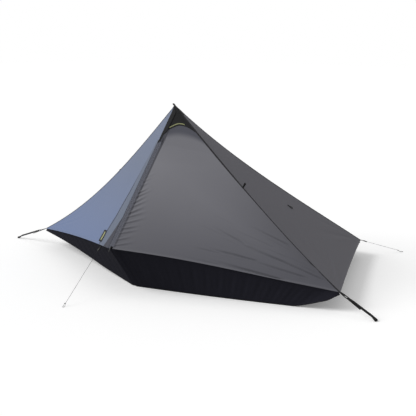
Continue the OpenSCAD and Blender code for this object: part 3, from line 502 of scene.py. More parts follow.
def by_zip(x, y, z):
    """A point from millimetres across, up and out of the zip's foot."""
    x, y, z = (np.asarray(q, float)[..., None] * MM for q in (x, y, z))
    return FRONT_FOOT + x * zip_across - y * zip_down + z * door_out


def zip_map(points):
    return flat_map(points, FRONT_FOOT, zip_across, -zip_down)


def hem_swing(k):
    """The front hem rises between its ends, most of all towards the zip; k runs from the corner to the zip."""
    angle = math.pi * np.clip(k, 0, 1)
    return (HEM_LEAN * np.sin(2 * angle) - HEM_RISE * np.sin(angle))[..., None] * zip_down


def edge_trim(v):
    """The cloth stops beside the zip, and above the zip it reaches the front edge."""
    y = (1 - v) * EDGE_LENGTH / MM
    return mix(ZIP_TRIM, SEAM_TRIM, ease((y - ZIP_LENGTH - 1) / 14))[..., None]


def right_front(u, v, trim_a, trim_b):
    """The sheet from the right ridge to the front edge. The trims say how far it stops short of each."""
    ridge_line, edge = straight_ridge(RIGHT_CORNER, v), front_edge(v)
    width = length(edge - ridge_line)
    k = mix(trim_a / width, 1 - trim_b / width, u[..., None])[..., 0]
    top = ZIP_DROP / np.linalg.norm(FRONT_FOOT - PEAK)
    end = FOLD_INSET / np.linalg.norm(FRONT_FOOT - RIGHT_CORNER)
    s = np.clip(1 - (1 - v) / (1 - top), 0, 1)
    fold = np.where(v <= top, 1, np.clip(mix(top, end, s) / np.maximum(v, top), 0, 1))
    reach = np.minimum(1, SAG_ENDS * fold)
    power = 1 + np.clip((1 - fold) / (1 - 1 / SAG_ENDS), 0, 1)
    share = np.clip(1 - k / reach, 0, 1) ** power
    sag = ridge_sag(RIGHT_CORNER, v, *SIDE_BEND) * share[..., None]
    return mix(ridge_line, edge, k[..., None]) + sag + hem_swing(k) * (v ** 5)[..., None]


print("zip frame", zip_across.round(4).tolist(), door_out.round(4).tolist(), "fold foot", fold_foot.round(4).tolist())

# %% [markdown]
# The photograph shows two families of folds here: short diagonal puckers that rise from the zip, and long creases that
# run from the right corner along the hem. They are listed by place and angle in the door's own plane, in metres from
# the zip's foot. A random generator with a fixed seed makes them uneven in the same way on every run.

# %% Folds of the right front
# Start across and up, angle, length, half width in mm and depth in mm
CORNER_FOLDS = [
    (1.49, 0.287, 175.7, 0.76, 8, -4.2), (1.36, 0.259, 181.5, 0.48, 8, -3.4), (1.52, 0.229, 189, 0.42, 8, -2.8),
    (1.25, 0.199, 184, 0.62, 8, -3.4), (1.02, 0.26, 184, 0.42, 8, -3), (1.17, 0.445, 174.6, 0.34, 9, -3.2),
    (0.9, 0.338, 169.7, 0.3, 8, -2.6), (0.78, 0.227, 185.3, 0.26, 7, -2.4), (1.51, 0.33, 166, 0.3, 9, -2.4),
    (1.05, 0.155, 187, 0.5, 7, -2)]
FINE_CREASES = 26


def zip_puckers():
    """Puckers up the zip, which grow steeper, shorter and shallower towards its top."""
    jitter = np.random.default_rng(11)
    folds = []
    for y in np.arange(0.035, 0.6, 0.041):
        y = y + jitter.uniform(-0.007, 0.007)
        angle = 29 + 19 * ease((y - 0.12) / 0.25) + jitter.uniform(-4, 4)
        run = 0.17 - 0.08 * ease((y - 0.2) / 0.35) + jitter.uniform(-0.03, 0.03)
        rise = jitter.uniform(2.4, 3.8) * (1 - 0.8 * ease((y - 0.42) / 0.18))
        folds.append((0.022, y, angle, run, 8.5 * MM, rise * MM))
    return folds


def corner_creases():
    """The listed folds, and fine ones between them that fan out in the same way."""
    jitter = np.random.default_rng(31)
    x, y = jitter.uniform(0.75, 1.4, FINE_CREASES), jitter.uniform(0.1, 0.46, FINE_CREASES)
    fine = [(a, b, 180 + 55 * (0.27 - b) + jitter.uniform(-3, 3), jitter.uniform(0.15, 0.4), 7,
             -jitter.uniform(0.5, 1.5)) for a, b in zip(x, y)]
    return [(*fold[:4], fold[4] * MM, fold[5] * MM) for fold in CORNER_FOLDS + fine]


print("puckers", len(zip_puckers()), "creases", len(corner_creases()))

# %% [markdown]
# A crease holds less light than its slopes alone would show, so its depth is also kept as a number, and the material
# paints shade in it. Under the black patch the cloth is two layers, and the material paints a darker, bluer band below
# the patch: painted shade, for less light coming through two layers. A narrow facing beside the zip is two layers and
# is painted in the same way, and painted darker still as shade beside the zip.

# %% Right front sheet
ROWS, COLUMNS, CROWD, SHEET_DOWN, RIGHT_SEED = 233, 190, 1.25, 1.3, 5
TURNED_WIDTH, TURNED_STANDS, ZIP_FACING = 11 * MM, 0.7 * MM, 16 * MM
# The depth at which a fold's painted shade is at its darkest, and how far the painted shade of the two layers reaches
# below the patch
FULL_CREASE, SHOWS_BELOW = 4 * MM, 0.035


def patch_reach(k, at_ridge=0.136, at_middle=0.102, at_zip=0.148):
    """The patch's lower edge as an arch between the ridge, its middle and the zip."""
    return np.where(k < 0.5, mix(at_middle, at_ridge, np.clip(1 - 2 * k, 0, 1) ** 3),
                    mix(at_middle, at_zip, np.clip(2 * k - 1, 0, 1) ** 2))


v, u = lattice(rows_to_hem(ROWS, SHEET_DOWN, CROWD), 1 - (1 - np.linspace(0, 1, COLUMNS)) ** CROWD)
points = right_front(u, v, SEAM_TRIM, edge_trim(v))
hem, weave = hem_map(points), zip_map(points)
from_zip = weave[..., 0] - ZIP_WIDTH
creases = fold_lines(weave, corner_creases())
turned_edge = TURNED_STANDS * ease((TURNED_WIDTH - from_zip) / (2 * MM))
quiet = ease((v - 0.1) / 0.15) * np.sqrt(np.sin(math.pi * u))
height = (np.maximum(rolled_hem(hem[..., 1]), turned_edge) + fold_lines(weave, zip_puckers()) + creases
          + slack(points, RIGHT_SEED, SLACK, 0.8) * quiet)
points = points + grid_normals(points, door_out) * height[..., None]
facing = ease((ZIP_FACING - from_zip) / (6 * MM))
# Creases, and the facing beside the zip, get a number that the material paints as shade.
crease = np.maximum(np.clip(-creases / FULL_CREASE, 0, 1), 0.85 * facing)
# Below the patch, and in the facing beside the zip, the cloth is two layers and is painted darker and bluer: painted
# shade.
doubled = np.maximum(1 - ease((v - patch_reach(u) - SHOWS_BELOW) / 0.05), facing)
right_front_cloth = lay_grid("right_front_cloth", points, door_out, weave, hem, crease=crease, doubled=doubled)
finish_sheet(right_front_cloth, CLOTH)
print("right front", len(right_front_cloth.data.polygons), "doubled points", int((doubled > 0.5).sum()))

# %% [markdown]
# ## End panels and rear panel
# The same grey cloth. Their folds are fans from the corners, where the straps and cords pull. The table is used again
# below for the netting and the tie-outs of these panels.

# %% End and rear panels


def end_folds(front, rear):
    return lambda points: (corner_fan(points, front, PEAK, rear, 5, 1.7 * MM, 0.9, 0.15)
                           + corner_fan(points, rear, PEAK, front, 4, 1.5 * MM, 0.8, 0.45))


# Edges, corners, folds and seed
END_PANELS = {
    "right": ((right_ridge, rear_right_ridge), (RIGHT_CORNER, REAR_RIGHT), end_folds(RIGHT_CORNER, REAR_RIGHT), 7),
    "left": ((rear_left_ridge, left_ridge), (REAR_LEFT, LEFT_CORNER), end_folds(LEFT_CORNER, REAR_LEFT), 8),
    "rear": ((rear_right_ridge, rear_left_ridge), (REAR_RIGHT, REAR_LEFT), end_folds(REAR_RIGHT, REAR_LEFT), 9)}
CLOTH_NAMES = {"right": "right_end_cloth", "left": "left_end_cloth", "rear": "rear_cloth"}
end_cloths = {side: make_panel(CLOTH_NAMES[side], *facts) for side, facts in END_PANELS.items()}
print("ends and rear", [len(p.data.polygons) for p in end_cloths.values()])

# %% [markdown]
# ## Ridge seams
# Two panels meet in a felled seam: their edges are folded into each other and sewn flat, which makes a narrow strip
# of four layers. It bends over the ridge, so each half lies on its own panel, with a soft crown between them.

# %% Felled seams
SEAM_HALF, SEAM_ROWS = 8.5 * MM, 170
SEAM_LIES, SEAM_STANDS, PUCKER_DEPTH, PUCKER_EVERY = 0.5 * MM, 1.1 * MM, 0.25 * MM, 17 * MM
SEAM_PLACES = np.array([-1, -0.93, -0.75, -0.4, -0.12, 0, 0.12, 0.4, 0.75, 0.93, 1])


def side_direction(line, other, v):
    tangent = units(np.gradient(line(v), axis=0))
    side = other(v) - line(v)
    side = units(side - np.sum(side * tangent, axis=-1, keepdims=True) * tangent)
    normal = np.cross(tangent, side)
    return side, normal * np.sign(normal[:, 2:3])


def felled_seam(name, line, edge_a, edge_b):
    v = np.linspace(0, 1, SEAM_ROWS)
    halves = side_direction(line, edge_a, v), side_direction(line, edge_b, v)
    crown = units(halves[0][1] + halves[1][1])
    run = run_along(line(v))[:, None]
    columns = []
    for s in SEAM_PLACES:
        side, normal = halves[0] if s < 0 else halves[1]
        normal = mix(crown, normal, ease(abs(s) / 0.3))
        pucker = PUCKER_DEPTH * np.sin(2 * math.pi * run / PUCKER_EVERY + 4 * s)
        lift = SEAM_LIES + SEAM_STANDS * ease((1 - abs(s)) / 0.12)
        columns.append(line(v) + side * abs(s) * SEAM_HALF + normal * (lift + pucker))
    across = SEAM_PLACES * SEAM_HALF
    piece = lay_grid(name, np.stack(columns, axis=1), crown[SEAM_ROWS // 2], pair_up(across, run),
                     pair_up(run, SEAM_HALF - np.abs(across)))
    return finish_sheet(piece, 1.4 * MM)


def right_inner(v):
    """A line beside the right ridge, where its sheet hasn't yet left the sag behind."""
    return mix(right_ridge(v), front_edge(v), 0.1)


# Each ridge with a line in the panel on either side of it
RIDGE_SIDES = {
    "right": (right_ridge, right_inner, rear_right_ridge), "left": (left_ridge, front_edge, rear_left_ridge),
    "rear_right": (rear_right_ridge, right_ridge, rear_left_ridge),
    "rear_left": (rear_left_ridge, left_ridge, rear_right_ridge)}
seams = {"ridge_seam_" + side: felled_seam("seam_" + side, *lines) for side, lines in RIDGE_SIDES.items()}
print("seams", [len(s.data.polygons) for s in seams.values()])

# %% [markdown]
# ## Peak
# A black cap is sewn over the five ridges' ends, and a black patch with an arched lower edge covers the top of the
# right front. Down the front edge a black tape joins them to the zip. The cap is a grid wrapped round the peak.

# %% Peak cap
SECTOR = 9
# How far the cap reaches down between each ridge and the next, in cap lengths
CAP_SHARE = [1.8, 2.2, 1.1, 1.0, 0.35]
CAP_DOWN = np.array([0.03, 0.1, 0.25, 0.45, 0.7, 0.95, 1.08, 1.14, 1.17])
CAP_LIFT = np.array([1.4, 1.6, 1.9, 2.2, 2.5, 2.6, 2.6, 2.3, 1.6]) * MM
MERGE = 0.02 * MM
ring = [edge(np.array([0.0]))[0] - PEAK
        for edge in (front_edge, right_ridge, rear_right_ridge, rear_left_ridge, left_ridge)]
columns = []
for i in range(5):
    before, a, b, after = (ring[(i + step) % 5] for step in (-1, 0, 1, 2))
    flat, turn_a, turn_b = (unit(np.cross(*pair)) for pair in ((a, b), (before, a), (b, after)))
    for s in np.arange(SECTOR) / SECTOR:
        soft = mix(flat, turn_a, 0.5 * (1 - ease(s / 0.25))) if s < 0.5 else mix(
            flat, turn_b, 0.5 * ease((s - 0.75) / 0.25))
        share = mix(CAP_SHARE[i - 1], CAP_SHARE[i], 0.5) if s == 0 else CAP_SHARE[i]
        columns.append((mix(a, b, s) * share, unit(soft * np.sign(soft[2]))))
columns.append(columns[0])
points = np.array([[PEAK + d * k + n * h for d, n in columns] for k, h in zip(CAP_DOWN, CAP_LIFT)])
points[..., 2] = np.minimum(points[..., 2], PEAK[2] + 0.4 * MM)
run, down = np.linspace(0, 0.2, len(columns)), CAP_DOWN[:, None] * CAP_LENGTH
middle_out = columns[len(columns) // 2][1]
peak_cap = lay_grid("peak_cap", points, middle_out, pair_up(run, down), pair_up(run, down[-1] - down))
merge_points(MERGE)
finish_sheet(peak_cap, 1.2 * MM)

# The slate cloth runs on to the peak under the cap's short side
k, s = lattice(np.linspace(0.12, 1.03, 8), np.linspace(0, 1, 8))
points = PEAK + mix(ring[4], ring[0], s[..., None]) * k[..., None]
weave = flat_map(points, PEAK, unit(ring[0]), UP)
left_tip = finish_sheet(lay_grid("left_front_tip", points, left_out, weave, weave + 1), CLOTH)
print("cap", len(peak_cap.data.polygons), "tip", len(left_tip.data.polygons))

# %% [markdown]
# The patch lies on the right front sheet, so it is made from the same surface function and lifted by its own
# thickness. A stitched bar follows its lower edge. The tape is narrow beside the zip, wider above it, and drawn in
# again under the cap.

# %% Patch, its bar, and the tape down to the zip
PATCH_TRIM, BESIDE_ZIP = 9 * MM, 0.5 * MM
PATCH_TOP, BAR_SPAN, BAR_BAND = 0.004, (0.3, 0.98), (0.855, 0.915)


def lie_on_right(name, u, v, lift, thickness):
    base = right_front(u, v, PATCH_TRIM, ZIP_TRIM + BESIDE_ZIP)
    points = base + grid_normals(base, door_out) * lift[..., None]
    return finish_sheet(lay_grid(name, points, door_out, zip_map(points), hem_map(points)), thickness)


r, u = lattice(np.linspace(0, 1, 40), np.linspace(0, 1, 44))
edge = np.minimum(np.minimum(1 - r, u), 1 - u)
lift = (1.3 + 0.5 * ease(edge / 0.05)) * MM
peak_patch = lie_on_right("peak_patch", u, mix(PATCH_TOP, patch_reach(u), r), lift, 1.0 * MM)

r, u = lattice(np.linspace(0, 1, 7), np.linspace(*BAR_SPAN, 50))
lift = (1.8 + 0.55 * np.sin(math.pi * np.clip(r, 0.06, 0.94))) * MM
patch_bar = lie_on_right("patch_bar", u, mix(*BAR_BAND, r) * patch_reach(u), lift, 0.7 * MM)

TAPE_TOP = EDGE_LENGTH / MM
r, k = lattice(np.linspace(0, 1, 60), np.linspace(0, 1, 12))
y = mix(ZIP_LENGTH - 27 + 20 * k, TAPE_TOP + 14, r)
wide = (13.5 + 17 * ease((y - ZIP_LENGTH - 40) / 50)) * np.clip((TAPE_TOP + 24 - y) / 34, 0.4, 1)
x = mix(0.3, wide, k)
points = by_zip(x, y, 1.1 + 0.9 * ease((1 - np.abs(2 * k - 1)) / 0.15))
front_tape = lay_grid("front_tape_black", points, door_out, pair_up(x * MM, y * MM), hem_map(points))
finish_sheet(front_tape, 1.2 * MM)
print("patch", len(peak_patch.data.polygons), "tape", len(front_tape.data.polygons))

# %% [markdown]
# The hang loop is a short piece of narrow webbing, sewn into the cap by both ends. In use it has fallen over to the
# left. All webbing here is a ribbon: a line of points in one plane, spread sideways to its width.

# %% Ribbons, and the hang loop
WEB = 1.4 * MM
RIBBON_COLUMNS, TWIST_GROWS = 9, 0.05


def arc(centre, radius, start, end, steps=12):
    angle = np.radians(np.linspace(start, end, steps + 1))
    return [(centre[0] + radius * math.cos(a), centre[1] + radius * math.sin(a)) for a in angle]


def ribbon(name, path, across, width, thickness, step=1.2 * MM, twist=0.0, span=(0, 1)):
    """Webbing along a path, with the weave measured from the path's own length. It may be twisted along a span."""
    path = np.asarray(path, float)
    run = run_along(path)
    at = np.linspace(0, run[-1], max(6, int(run[-1] / step)) + 1)
    line = np.stack([np.interp(at, run, path[:, i]) for i in range(3)], axis=1)
    for _ in range(2):
        line[1:-1] = 0.25 * line[:-2] + 0.5 * line[1:-1] + 0.25 * line[2:]
    places = np.linspace(-0.5, 0.5, RIBBON_COLUMNS) * width
    turn = math.radians(twist) * ease((at - span[0]) / TWIST_GROWS) * ease((span[1] - at) / TWIST_GROWS)
    at, turn = at[:, None], turn[:, None]
    sides = np.cos(turn) * unit(across) + np.sin(turn) * np.cross(units(np.gradient(line, axis=0)), across)
    points = line[:, None] + places[None, :, None] * sides[:, None]
    middle = len(at) // 2
    outward = np.cross(unit(across), line[middle + 1] - line[middle])
    piece = lay_grid(name, points, outward, pair_up(places, at), pair_up(at, width / 2 - np.abs(places)))
    return finish_sheet(piece, thickness, 0.0, 0.25 * MM)


loop = [(5, 1244), (2, 1249)] + arc((-14, 1258.2), 4, 50, 230) + [(-9, 1248.5), (-5, 1243)]
hang_loop = ribbon("hang_loop", [(x * MM, 0, z * MM) for x, z in loop], (0, 1, 0), 10 * MM, WEB)
print("hang loop", len(hang_loop.data.polygons))

# %% [markdown]
# Under the peak sits a cloth pocket for the pole's top. It is turned like a cup: one profile carried round in a
# circle, with a little gathering so that it reads as sewn cloth and not as a turned part.

# %% Pole pocket
# In millimetres, like the profile
POCKET_R, POCKET_TOP_R, POCKET_LENGTH = 13, 5, 60
GATHERS, GATHER_DEPTH = 18, 0.15
pocket_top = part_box("pole_pocket")[1][2] / MM
profile = [(0.3, pocket_top), (POCKET_TOP_R, pocket_top - 0.2), (9, pocket_top - 6.5), (POCKET_R, pocket_top - 12.6)]
profile += [(POCKET_R, z) for z in np.linspace(pocket_top - 18, pocket_top - POCKET_LENGTH, 9)]
profile += [(POCKET_R + 0.4, pocket_top - POCKET_LENGTH - 0.2)]
radius, z = np.array(profile).T[..., None]
angle = np.linspace(0, 2 * math.pi, 73)
radius = radius + GATHER_DEPTH * np.sin(GATHERS * angle)
points = np.stack(np.broadcast_arrays(radius * np.cos(angle), radius * np.sin(angle), z), axis=-1) * MM
fall = np.linspace(0, POCKET_LENGTH * MM, len(profile))[:, None]
run = angle * POCKET_R * MM
pole_pocket = lay_grid("pole_pocket_cloth", points, points[6, 36] * LEVEL, pair_up(run, fall),
                       pair_up(run, POCKET_LENGTH * MM - fall))
merge_points(MERGE)
finish_sheet(pole_pocket, 1.2 * MM)
print("pocket", len(pole_pocket.data.polygons))

# %% [markdown]
# ## Zip
# Two woven tapes carry two nylon coils, and the coils' turns mesh in the middle. A coil is one stiff thread wound up,
# so it is drawn as a thin thread along a helix. The tapes ripple a little where they are sewn.

# %% Tapes and coils
COIL_PITCH, COIL_RADIUS, COIL_THREAD = 1.8, 1.15, 0.35 * MM
COIL_END = ZIP_LENGTH - 12
# Millimetres across from the front edge, and up from the zip's foot, where the right half starts above the slider
LEFT_TAPE, RIGHT_TAPE, LEFT_COIL, RIGHT_COIL = (0.3, 13.9), (14.1, 27.8), 12.25, 15.75
LEFT_START, RIGHT_START = 2, 21


def zip_tape(name, x0, x1, start, end, ripple, rows=300):
    """Start and end are each a pair of heights, at the tape's left and right edge."""
    r, x = lattice(np.linspace(0, 1, rows), np.linspace(x0, x1, 7))
    y = mix(np.linspace(*start, 7), np.linspace(*end, 7), r)
    z = ripple * 0.3 * np.sin(2 * math.pi * y / 46 + x / 9)
    hem = pair_up(y * MM, np.minimum(x - x0, x1 - x) * MM)
    return finish_sheet(lay_grid(name, by_zip(x, y, z), door_out, pair_up(x * MM, y * MM), hem), 0.8 * MM)


def zip_coil(name, x, start):
    turns = np.arange(0, (COIL_END - start) / COIL_PITCH, 0.125)
    angle = turns * 2 * math.pi
    points = by_zip(x + COIL_RADIUS * np.cos(angle), start + COIL_PITCH * turns, -0.6 + COIL_RADIUS * np.sin(angle))
    piece = as_mesh(curve_piece(name, points, COIL_THREAD, "POLY", 0))
    bpy.ops.object.shade_smooth()
    return piece


tape_left = zip_tape("zip_tape_left_woven", *LEFT_TAPE, (LEFT_START,) * 2, (ZIP_LENGTH + 20,) * 2, 1)
# The right tape turns with the door, so it ends at the fold and a short head goes on from there
at_fold, past_fold = (ZIP_LENGTH - 7.1, ZIP_LENGTH - 13.1), (ZIP_LENGTH - 5.6, ZIP_LENGTH - 11.6)
tape_right = zip_tape("zip_tape_right_woven", *RIGHT_TAPE, (RIGHT_START,) * 2, at_fold, -1)
zip_head = zip_tape("zip_head_woven", *RIGHT_TAPE, past_fold, (ZIP_LENGTH + 22,) * 2, 0, 12)
coil_left = zip_coil("zip_coil_left_turns", LEFT_COIL, LEFT_START)
coil_right = zip_coil("zip_coil_right_turns", RIGHT_COIL, RIGHT_START)
print("zip", [len(p.data.polygons) for p in (tape_left, tape_right, coil_left, coil_right)])

# %% [markdown]
# The flap beside the zip, the seam of the facing, a three-cornered facing at the zip's foot and the tag near the hem
# lie on the left front panel. They follow its folds, so the panel's height function is asked at their own points.

# %% Flap and hem tag
FLAP_WIDTH, FLAP_TOP = 105 * MM, 0.35
FACING_SEAM, FOOT_WIDTH, FOOT_TOP = 16 * MM, 110 * MM, 0.785
HEM_END = 0.9995


def lie_on_left(name, t, d, lift, edge, thickness, rounding=0.0, **marks):
    """A cloth on the left front panel: t runs down the front edge from the cap, d is the distance from that edge."""
    a, b = left_ridge(t), front_edge(t)
    k = d / length(a - b)[..., 0]
    base = mix(b, a, k[..., None]) + hem_arch(LEFT_CORNER, FRONT_FOOT) * (t ** 3 * 4 * k * (1 - k))[..., None]
    height = panel_height(base, 1 - k, t, left_front_folds, LEFT_SEED) + lift
    run = t * EDGE_LENGTH
    piece = lay_grid(name, base + left_out * height[..., None], left_out, pair_up(d, run), pair_up(run, edge), **marks)
    return finish_sheet(piece, thickness, rounding=rounding)


def strip_on_left(name, t, d, lift, thickness):
    return lie_on_left(name, t, d, lift, np.minimum(d - d[:, :1], d[:, -1:] - d), thickness)


t, s = lattice(np.linspace((ZIP_DROP - CAP_LENGTH) / EDGE_LENGTH, HEM_END, 150), np.linspace(0, 1, 16))
k = (t - t[0, 0]) / (1 - t[0, 0])
width = mix(FLAP_TOP, 1, np.minimum(1, 2 * k)) * FLAP_WIDTH
d = mix(1.0 * MM, width, s)
lift = (0.5 + 0.9 * ease(np.minimum(d, width - d) / (2.5 * MM)) + 0.8 * ease((5 * MM - d) / (4 * MM))) * MM
# The flap is two layers all over, so its material paints it in the same shade.
zip_flap = lie_on_left("zip_flap_cloth", t, d, lift, width - d, 0.7 * MM, doubled=np.ones(t.shape))

t, s = lattice(np.linspace(0.26, HEM_END, 150), np.linspace(-0.5, 0.5, 5))
# The facing's seam is a strip that its material paints darker: a real seam with painted shade along the flap's edge.
facing_seam = strip_on_left("facing_seam", t, facing_width(t) + FACING_SEAM * s, 1.0 * MM, 0.8 * MM)
t, s = lattice(np.linspace(FOOT_TOP + 0.005, HEM_END, 60), np.linspace(0, 1, 14))
d = mix(1 * MM, FOOT_WIDTH * (t - FOOT_TOP) / (1 - FOOT_TOP), s)
zip_foot = strip_on_left("zip_foot_facing", t, d, 2.5 * MM, 0.7 * MM)

TAG_WIDTH, TAG_LENGTH, TAG_INSET, TAG_RISE = 65 * MM, 95 * MM, 190 * MM, 22 * MM
tag_top, tag_low = 1 - (TAG_RISE + TAG_LENGTH) / EDGE_LENGTH, 1 - TAG_RISE / EDGE_LENGTH


def tag_part(name, share_down, share_across, lift, rows, columns):
    t, d = lattice(mix(tag_top, tag_low, np.linspace(*share_down, rows)),
                   TAG_INSET + TAG_WIDTH * np.linspace(*share_across, columns))
    edge = np.minimum(np.minimum(d - d[0, 0], d[0, -1] - d), (t[-1, 0] - t) * EDGE_LENGTH)
    return lie_on_left(name, t, d, lift, np.abs(edge), 0.8 * MM, 0.2 * MM)


hem_tag = tag_part("hem_tag_cloth", (0, 1), (0, 1), 1.5 * MM, 24, 18)
tag_bar = tag_part("hem_tag_bar", (0.14, 0.86), (0.28, 0.62), 2.0 * MM, 18, 6)
print("flap", len(zip_flap.data.polygons), "tag", len(hem_tag.data.polygons))

# %% [markdown]
# ## Netting
# Fine netting hangs from under the hem to the ground all round and keeps insects out. At the corners it is drawn up to
# the hem. Each length is a grid between a hem line and a ground line, with loose upright folds that die out at both.

# %% Lines of the netting
NET_FOOT, NET_SIDE = np.array([0.008, -0.447, 0]), np.array([1.28, -0.06, 0])
NET_INSET, NET_CORNER, NET_BULGE, UNDER = 150 * MM, 16 * MM, 18 * MM, 1.5 * MM
NET_COLUMNS = 150
# The netting's top is sewn to the inside of the hem, about 11 mm up the panel
SEWN_UP, SEWN = 11 * MM, 0.992


def drawn_up(k, reach):
    """0 at a corner, where the netting is drawn up to the hem, and 1 where it reaches the ground."""
    return 1 - np.clip(1 - k / reach, 0, 1) ** 2


def flat_inward(a, b):
    d = unit((b - a) * LEVEL)
    n = np.array([-d[1], d[0], 0])
    return n * np.sign(n @ -(a + b))


def inset_lines(edges, corners):
    u = np.linspace(0.004, 0.996, NET_COLUMNS)
    inward = flat_inward(*corners)
    hem, top = (panel(*edges, hem_arch(*corners), u, np.full_like(u, v)) - UNDER * middle_normal(*corners)
                for v in (1, SEWN))
    g = drawn_up(np.minimum(u, 1 - u), 0.3)[:, None]
    foot = hem * LEVEL + inward * NET_INSET * g + UP * (hem[:, 2:] - NET_CORNER) * (1 - g)
    return top, foot, -inward


def front_lines():
    full = np.linalg.norm(RIGHT_CORNER - FRONT_FOOT)
    d = np.linspace(6.4 * MM, full - 17 * MM, 2 * NET_COLUMNS)[:, None]
    hem = mix(RIGHT_CORNER, FRONT_FOOT, d / full) - UNDER * door_out + hem_swing(d[:, 0] / full)
    outward = -flat_inward(RIGHT_CORNER, FRONT_FOOT)
    ground = mix(NET_SIDE, NET_FOOT, d / full) + UP * UNDER + outward * NET_BULGE * np.sin(math.pi * d / full)
    lowest = NET_CORNER + 22 * MM * ease(d / (40 * MM))
    foot = mix(hem - UP * lowest, ground, drawn_up(d / full, 0.12))
    # Beside the slider and at the corner there is no room behind the hem, so the seam comes down to the edge
    sewn = SEWN_UP * ease((d - 20 * MM) / (60 * MM)) * ease((full - d - 35 * MM) / (40 * MM))
    return hem - sewn * zip_down, foot, outward


def front_left_lines():
    u = np.linspace(0.004, 1, 2 * NET_COLUMNS)
    arch = hem_arch(LEFT_CORNER, FRONT_FOOT)
    hem = panel(left_ridge, front_edge, arch, u, np.full_like(u, SEWN)) - UNDER * left_out
    # The end passes behind the door's netting and the zip's foot, so that no light shows between them
    behind = ease((u - 0.98) / 0.02)[:, None] * MM
    hem += behind * (30 * zip_across - 6 * door_out - 28 * zip_down)
    foot = mix(LEFT_CORNER - UP * NET_CORNER, NET_FOOT, u[:, None]) + behind * np.array([29, 14, 0])
    foot += UP * 14 * MM * np.sin(math.pi * np.clip(u / 0.7, 0, 1))[:, None]
    return hem, foot, -flat_inward(LEFT_CORNER, FRONT_FOOT)


net_lines = {"net_front": front_lines(), "net_front_left": front_left_lines()}
net_lines.update({"net_" + side: inset_lines(*facts[:2]) for side, facts in END_PANELS.items()})
print({name: lines[0].shape for name, lines in net_lines.items()})

# %% [markdown]
# The folds are two sine waves that wander, each net with its own seed. A ribbed tape binds the lower edge: five rows of
# points that stand a little proud on both sides of the netting.

# %% Netting and its binding tape
NET_ROWS, NET_LOOSE, NET_SINKS = 26, 1.0 * MM, 4 * MM
LONG_WAVE, SHORT_WAVE = 110 * MM, 47 * MM
BINDING = 9 * MM
BINDING_ROWS, BINDING_BULGE = np.array([1, 0.9, 0.5, 0.1, 0]), np.array([0.9, 1.3, 1.3, 1.3, 0.9]) * MM


def hang_net(name, lines, seed):
    hem, foot, outward = lines
    tall = length(foot - hem)
    k = np.linspace(0, 1, NET_ROWS)[:, None]
    base = mix(hem, foot, k[..., None] * (1 - 0.5 * BINDING / tall))
    run, tall = run_along(hem), tall[:, 0]
    shift = np.random.default_rng(seed).uniform(0, 6, 4)
    wave = (np.sin(2 * math.pi * run / LONG_WAVE + 2 * np.sin(run * 5 + shift[0]) + shift[1])
            + 0.6 * np.sin(2 * math.pi * run / SHORT_WAVE + 3 * np.sin(run * 3 + shift[2]) + shift[3]))
    depth = NET_LOOSE * np.clip(tall / 0.25, 0, 1) * wave - NET_SINKS * np.clip(tall / 0.3, 0, 1)
    points = base + outward * (np.sin(math.pi * k * 0.96) * depth)[..., None]
    piece = lay_grid(name + "_mesh", points, outward, pair_up(run, k * tall), hem_map(points))
    return finish_sheet(piece, 0.5 * MM)


def bind_net(name, lines):
    hem, foot, outward = lines
    rise = BINDING_ROWS[:, None] * BINDING
    points = mix(foot, hem, rise[..., None] / length(foot - hem)) + outward * BINDING_BULGE[:, None, None]
    run = run_along(foot)
    piece = lay_grid(name.replace("net", "binding", 1), points, outward, pair_up(rise, run),
                     pair_up(run, np.minimum(rise, BINDING - rise)))
    return finish_sheet(piece, 2.2 * MM)


nets = {name: hang_net(name, lines, 20 + i) for i, (name, lines) in enumerate(net_lines.items())}
bindings = {name: bind_net(name, lines) for name, lines in net_lines.items()}
print("nets", [len(n.data.polygons) for n in nets.values()])

# %% [markdown]
# ## Corner straps
# A short webbing tab at each side corner holds a ladder buckle. The strap comes up from its peg loop on the ground,
# turns round the buckle's far bar and hangs back as a tail. All of it lies in one upright plane, so each path is drawn
# in two numbers, outwards and up, and the left side is the right one mirrored with a longer reach.

# %% Corner tabs and straps
# In millimetres, like the paths
BUCKLE_IN, BUCKLE_LENGTH, WRAP_R, TAIL, LOOP_R, LIES = 34, 24, 2.6, 115, 6.5, 0.7
STRAP_WIDTH = 20 * MM
# Side, reach in millimetres and twist in degrees
STRAPS = {"right": (1, 272, 18), "left": (-1, 370, -40)}
# The twist fills the straight stretch, which follows the tail's two points and the turn round the bar
STRAIGHT = 14


def strap_paths(reach):
    start = RIGHT_CORNER[[0, 2]] / MM
    end = np.array([start[0] + reach, LIES])
    run = unit(end - start)
    turn = np.array([-run[1], run[0]])
    a = math.degrees(math.atan2(run[1], run[0]))

    def at(d, h):
        return start + run * d + turn * h
    tab = [at(0.5, 0.8), at(10, 0.8), at(20, WRAP_R), *arc(at(BUCKLE_IN, 0), WRAP_R, a + 90, a - 90),
           at(20, -WRAP_R), at(10, -0.8), at(0.5, -0.8)]
    bar = BUCKLE_IN + BUCKLE_LENGTH
    ring = np.array([end[0] - LOOP_R, LOOP_R + LIES])
    top = ring + LOOP_R * turn
    line = unit(top - at(bar, WRAP_R))
    up = np.array([-line[1], line[0]])
    sewn = top - line * 34 - up * 1.7
    strap = [at(bar + TAIL, -WRAP_R - 3), at(bar + TAIL / 2, -WRAP_R - 1), *arc(at(bar, 0), WRAP_R, a + 270, a + 90),
             top, *arc(ring, LOOP_R, a + 80, a - 130), sewn, sewn - line * 17]
    tacks = [at(8, 1.6), at(17, 2.9), top - line * 24 + up * 0.9, top - line * 38 + up * 0.9]
    return tab, strap, tacks, run


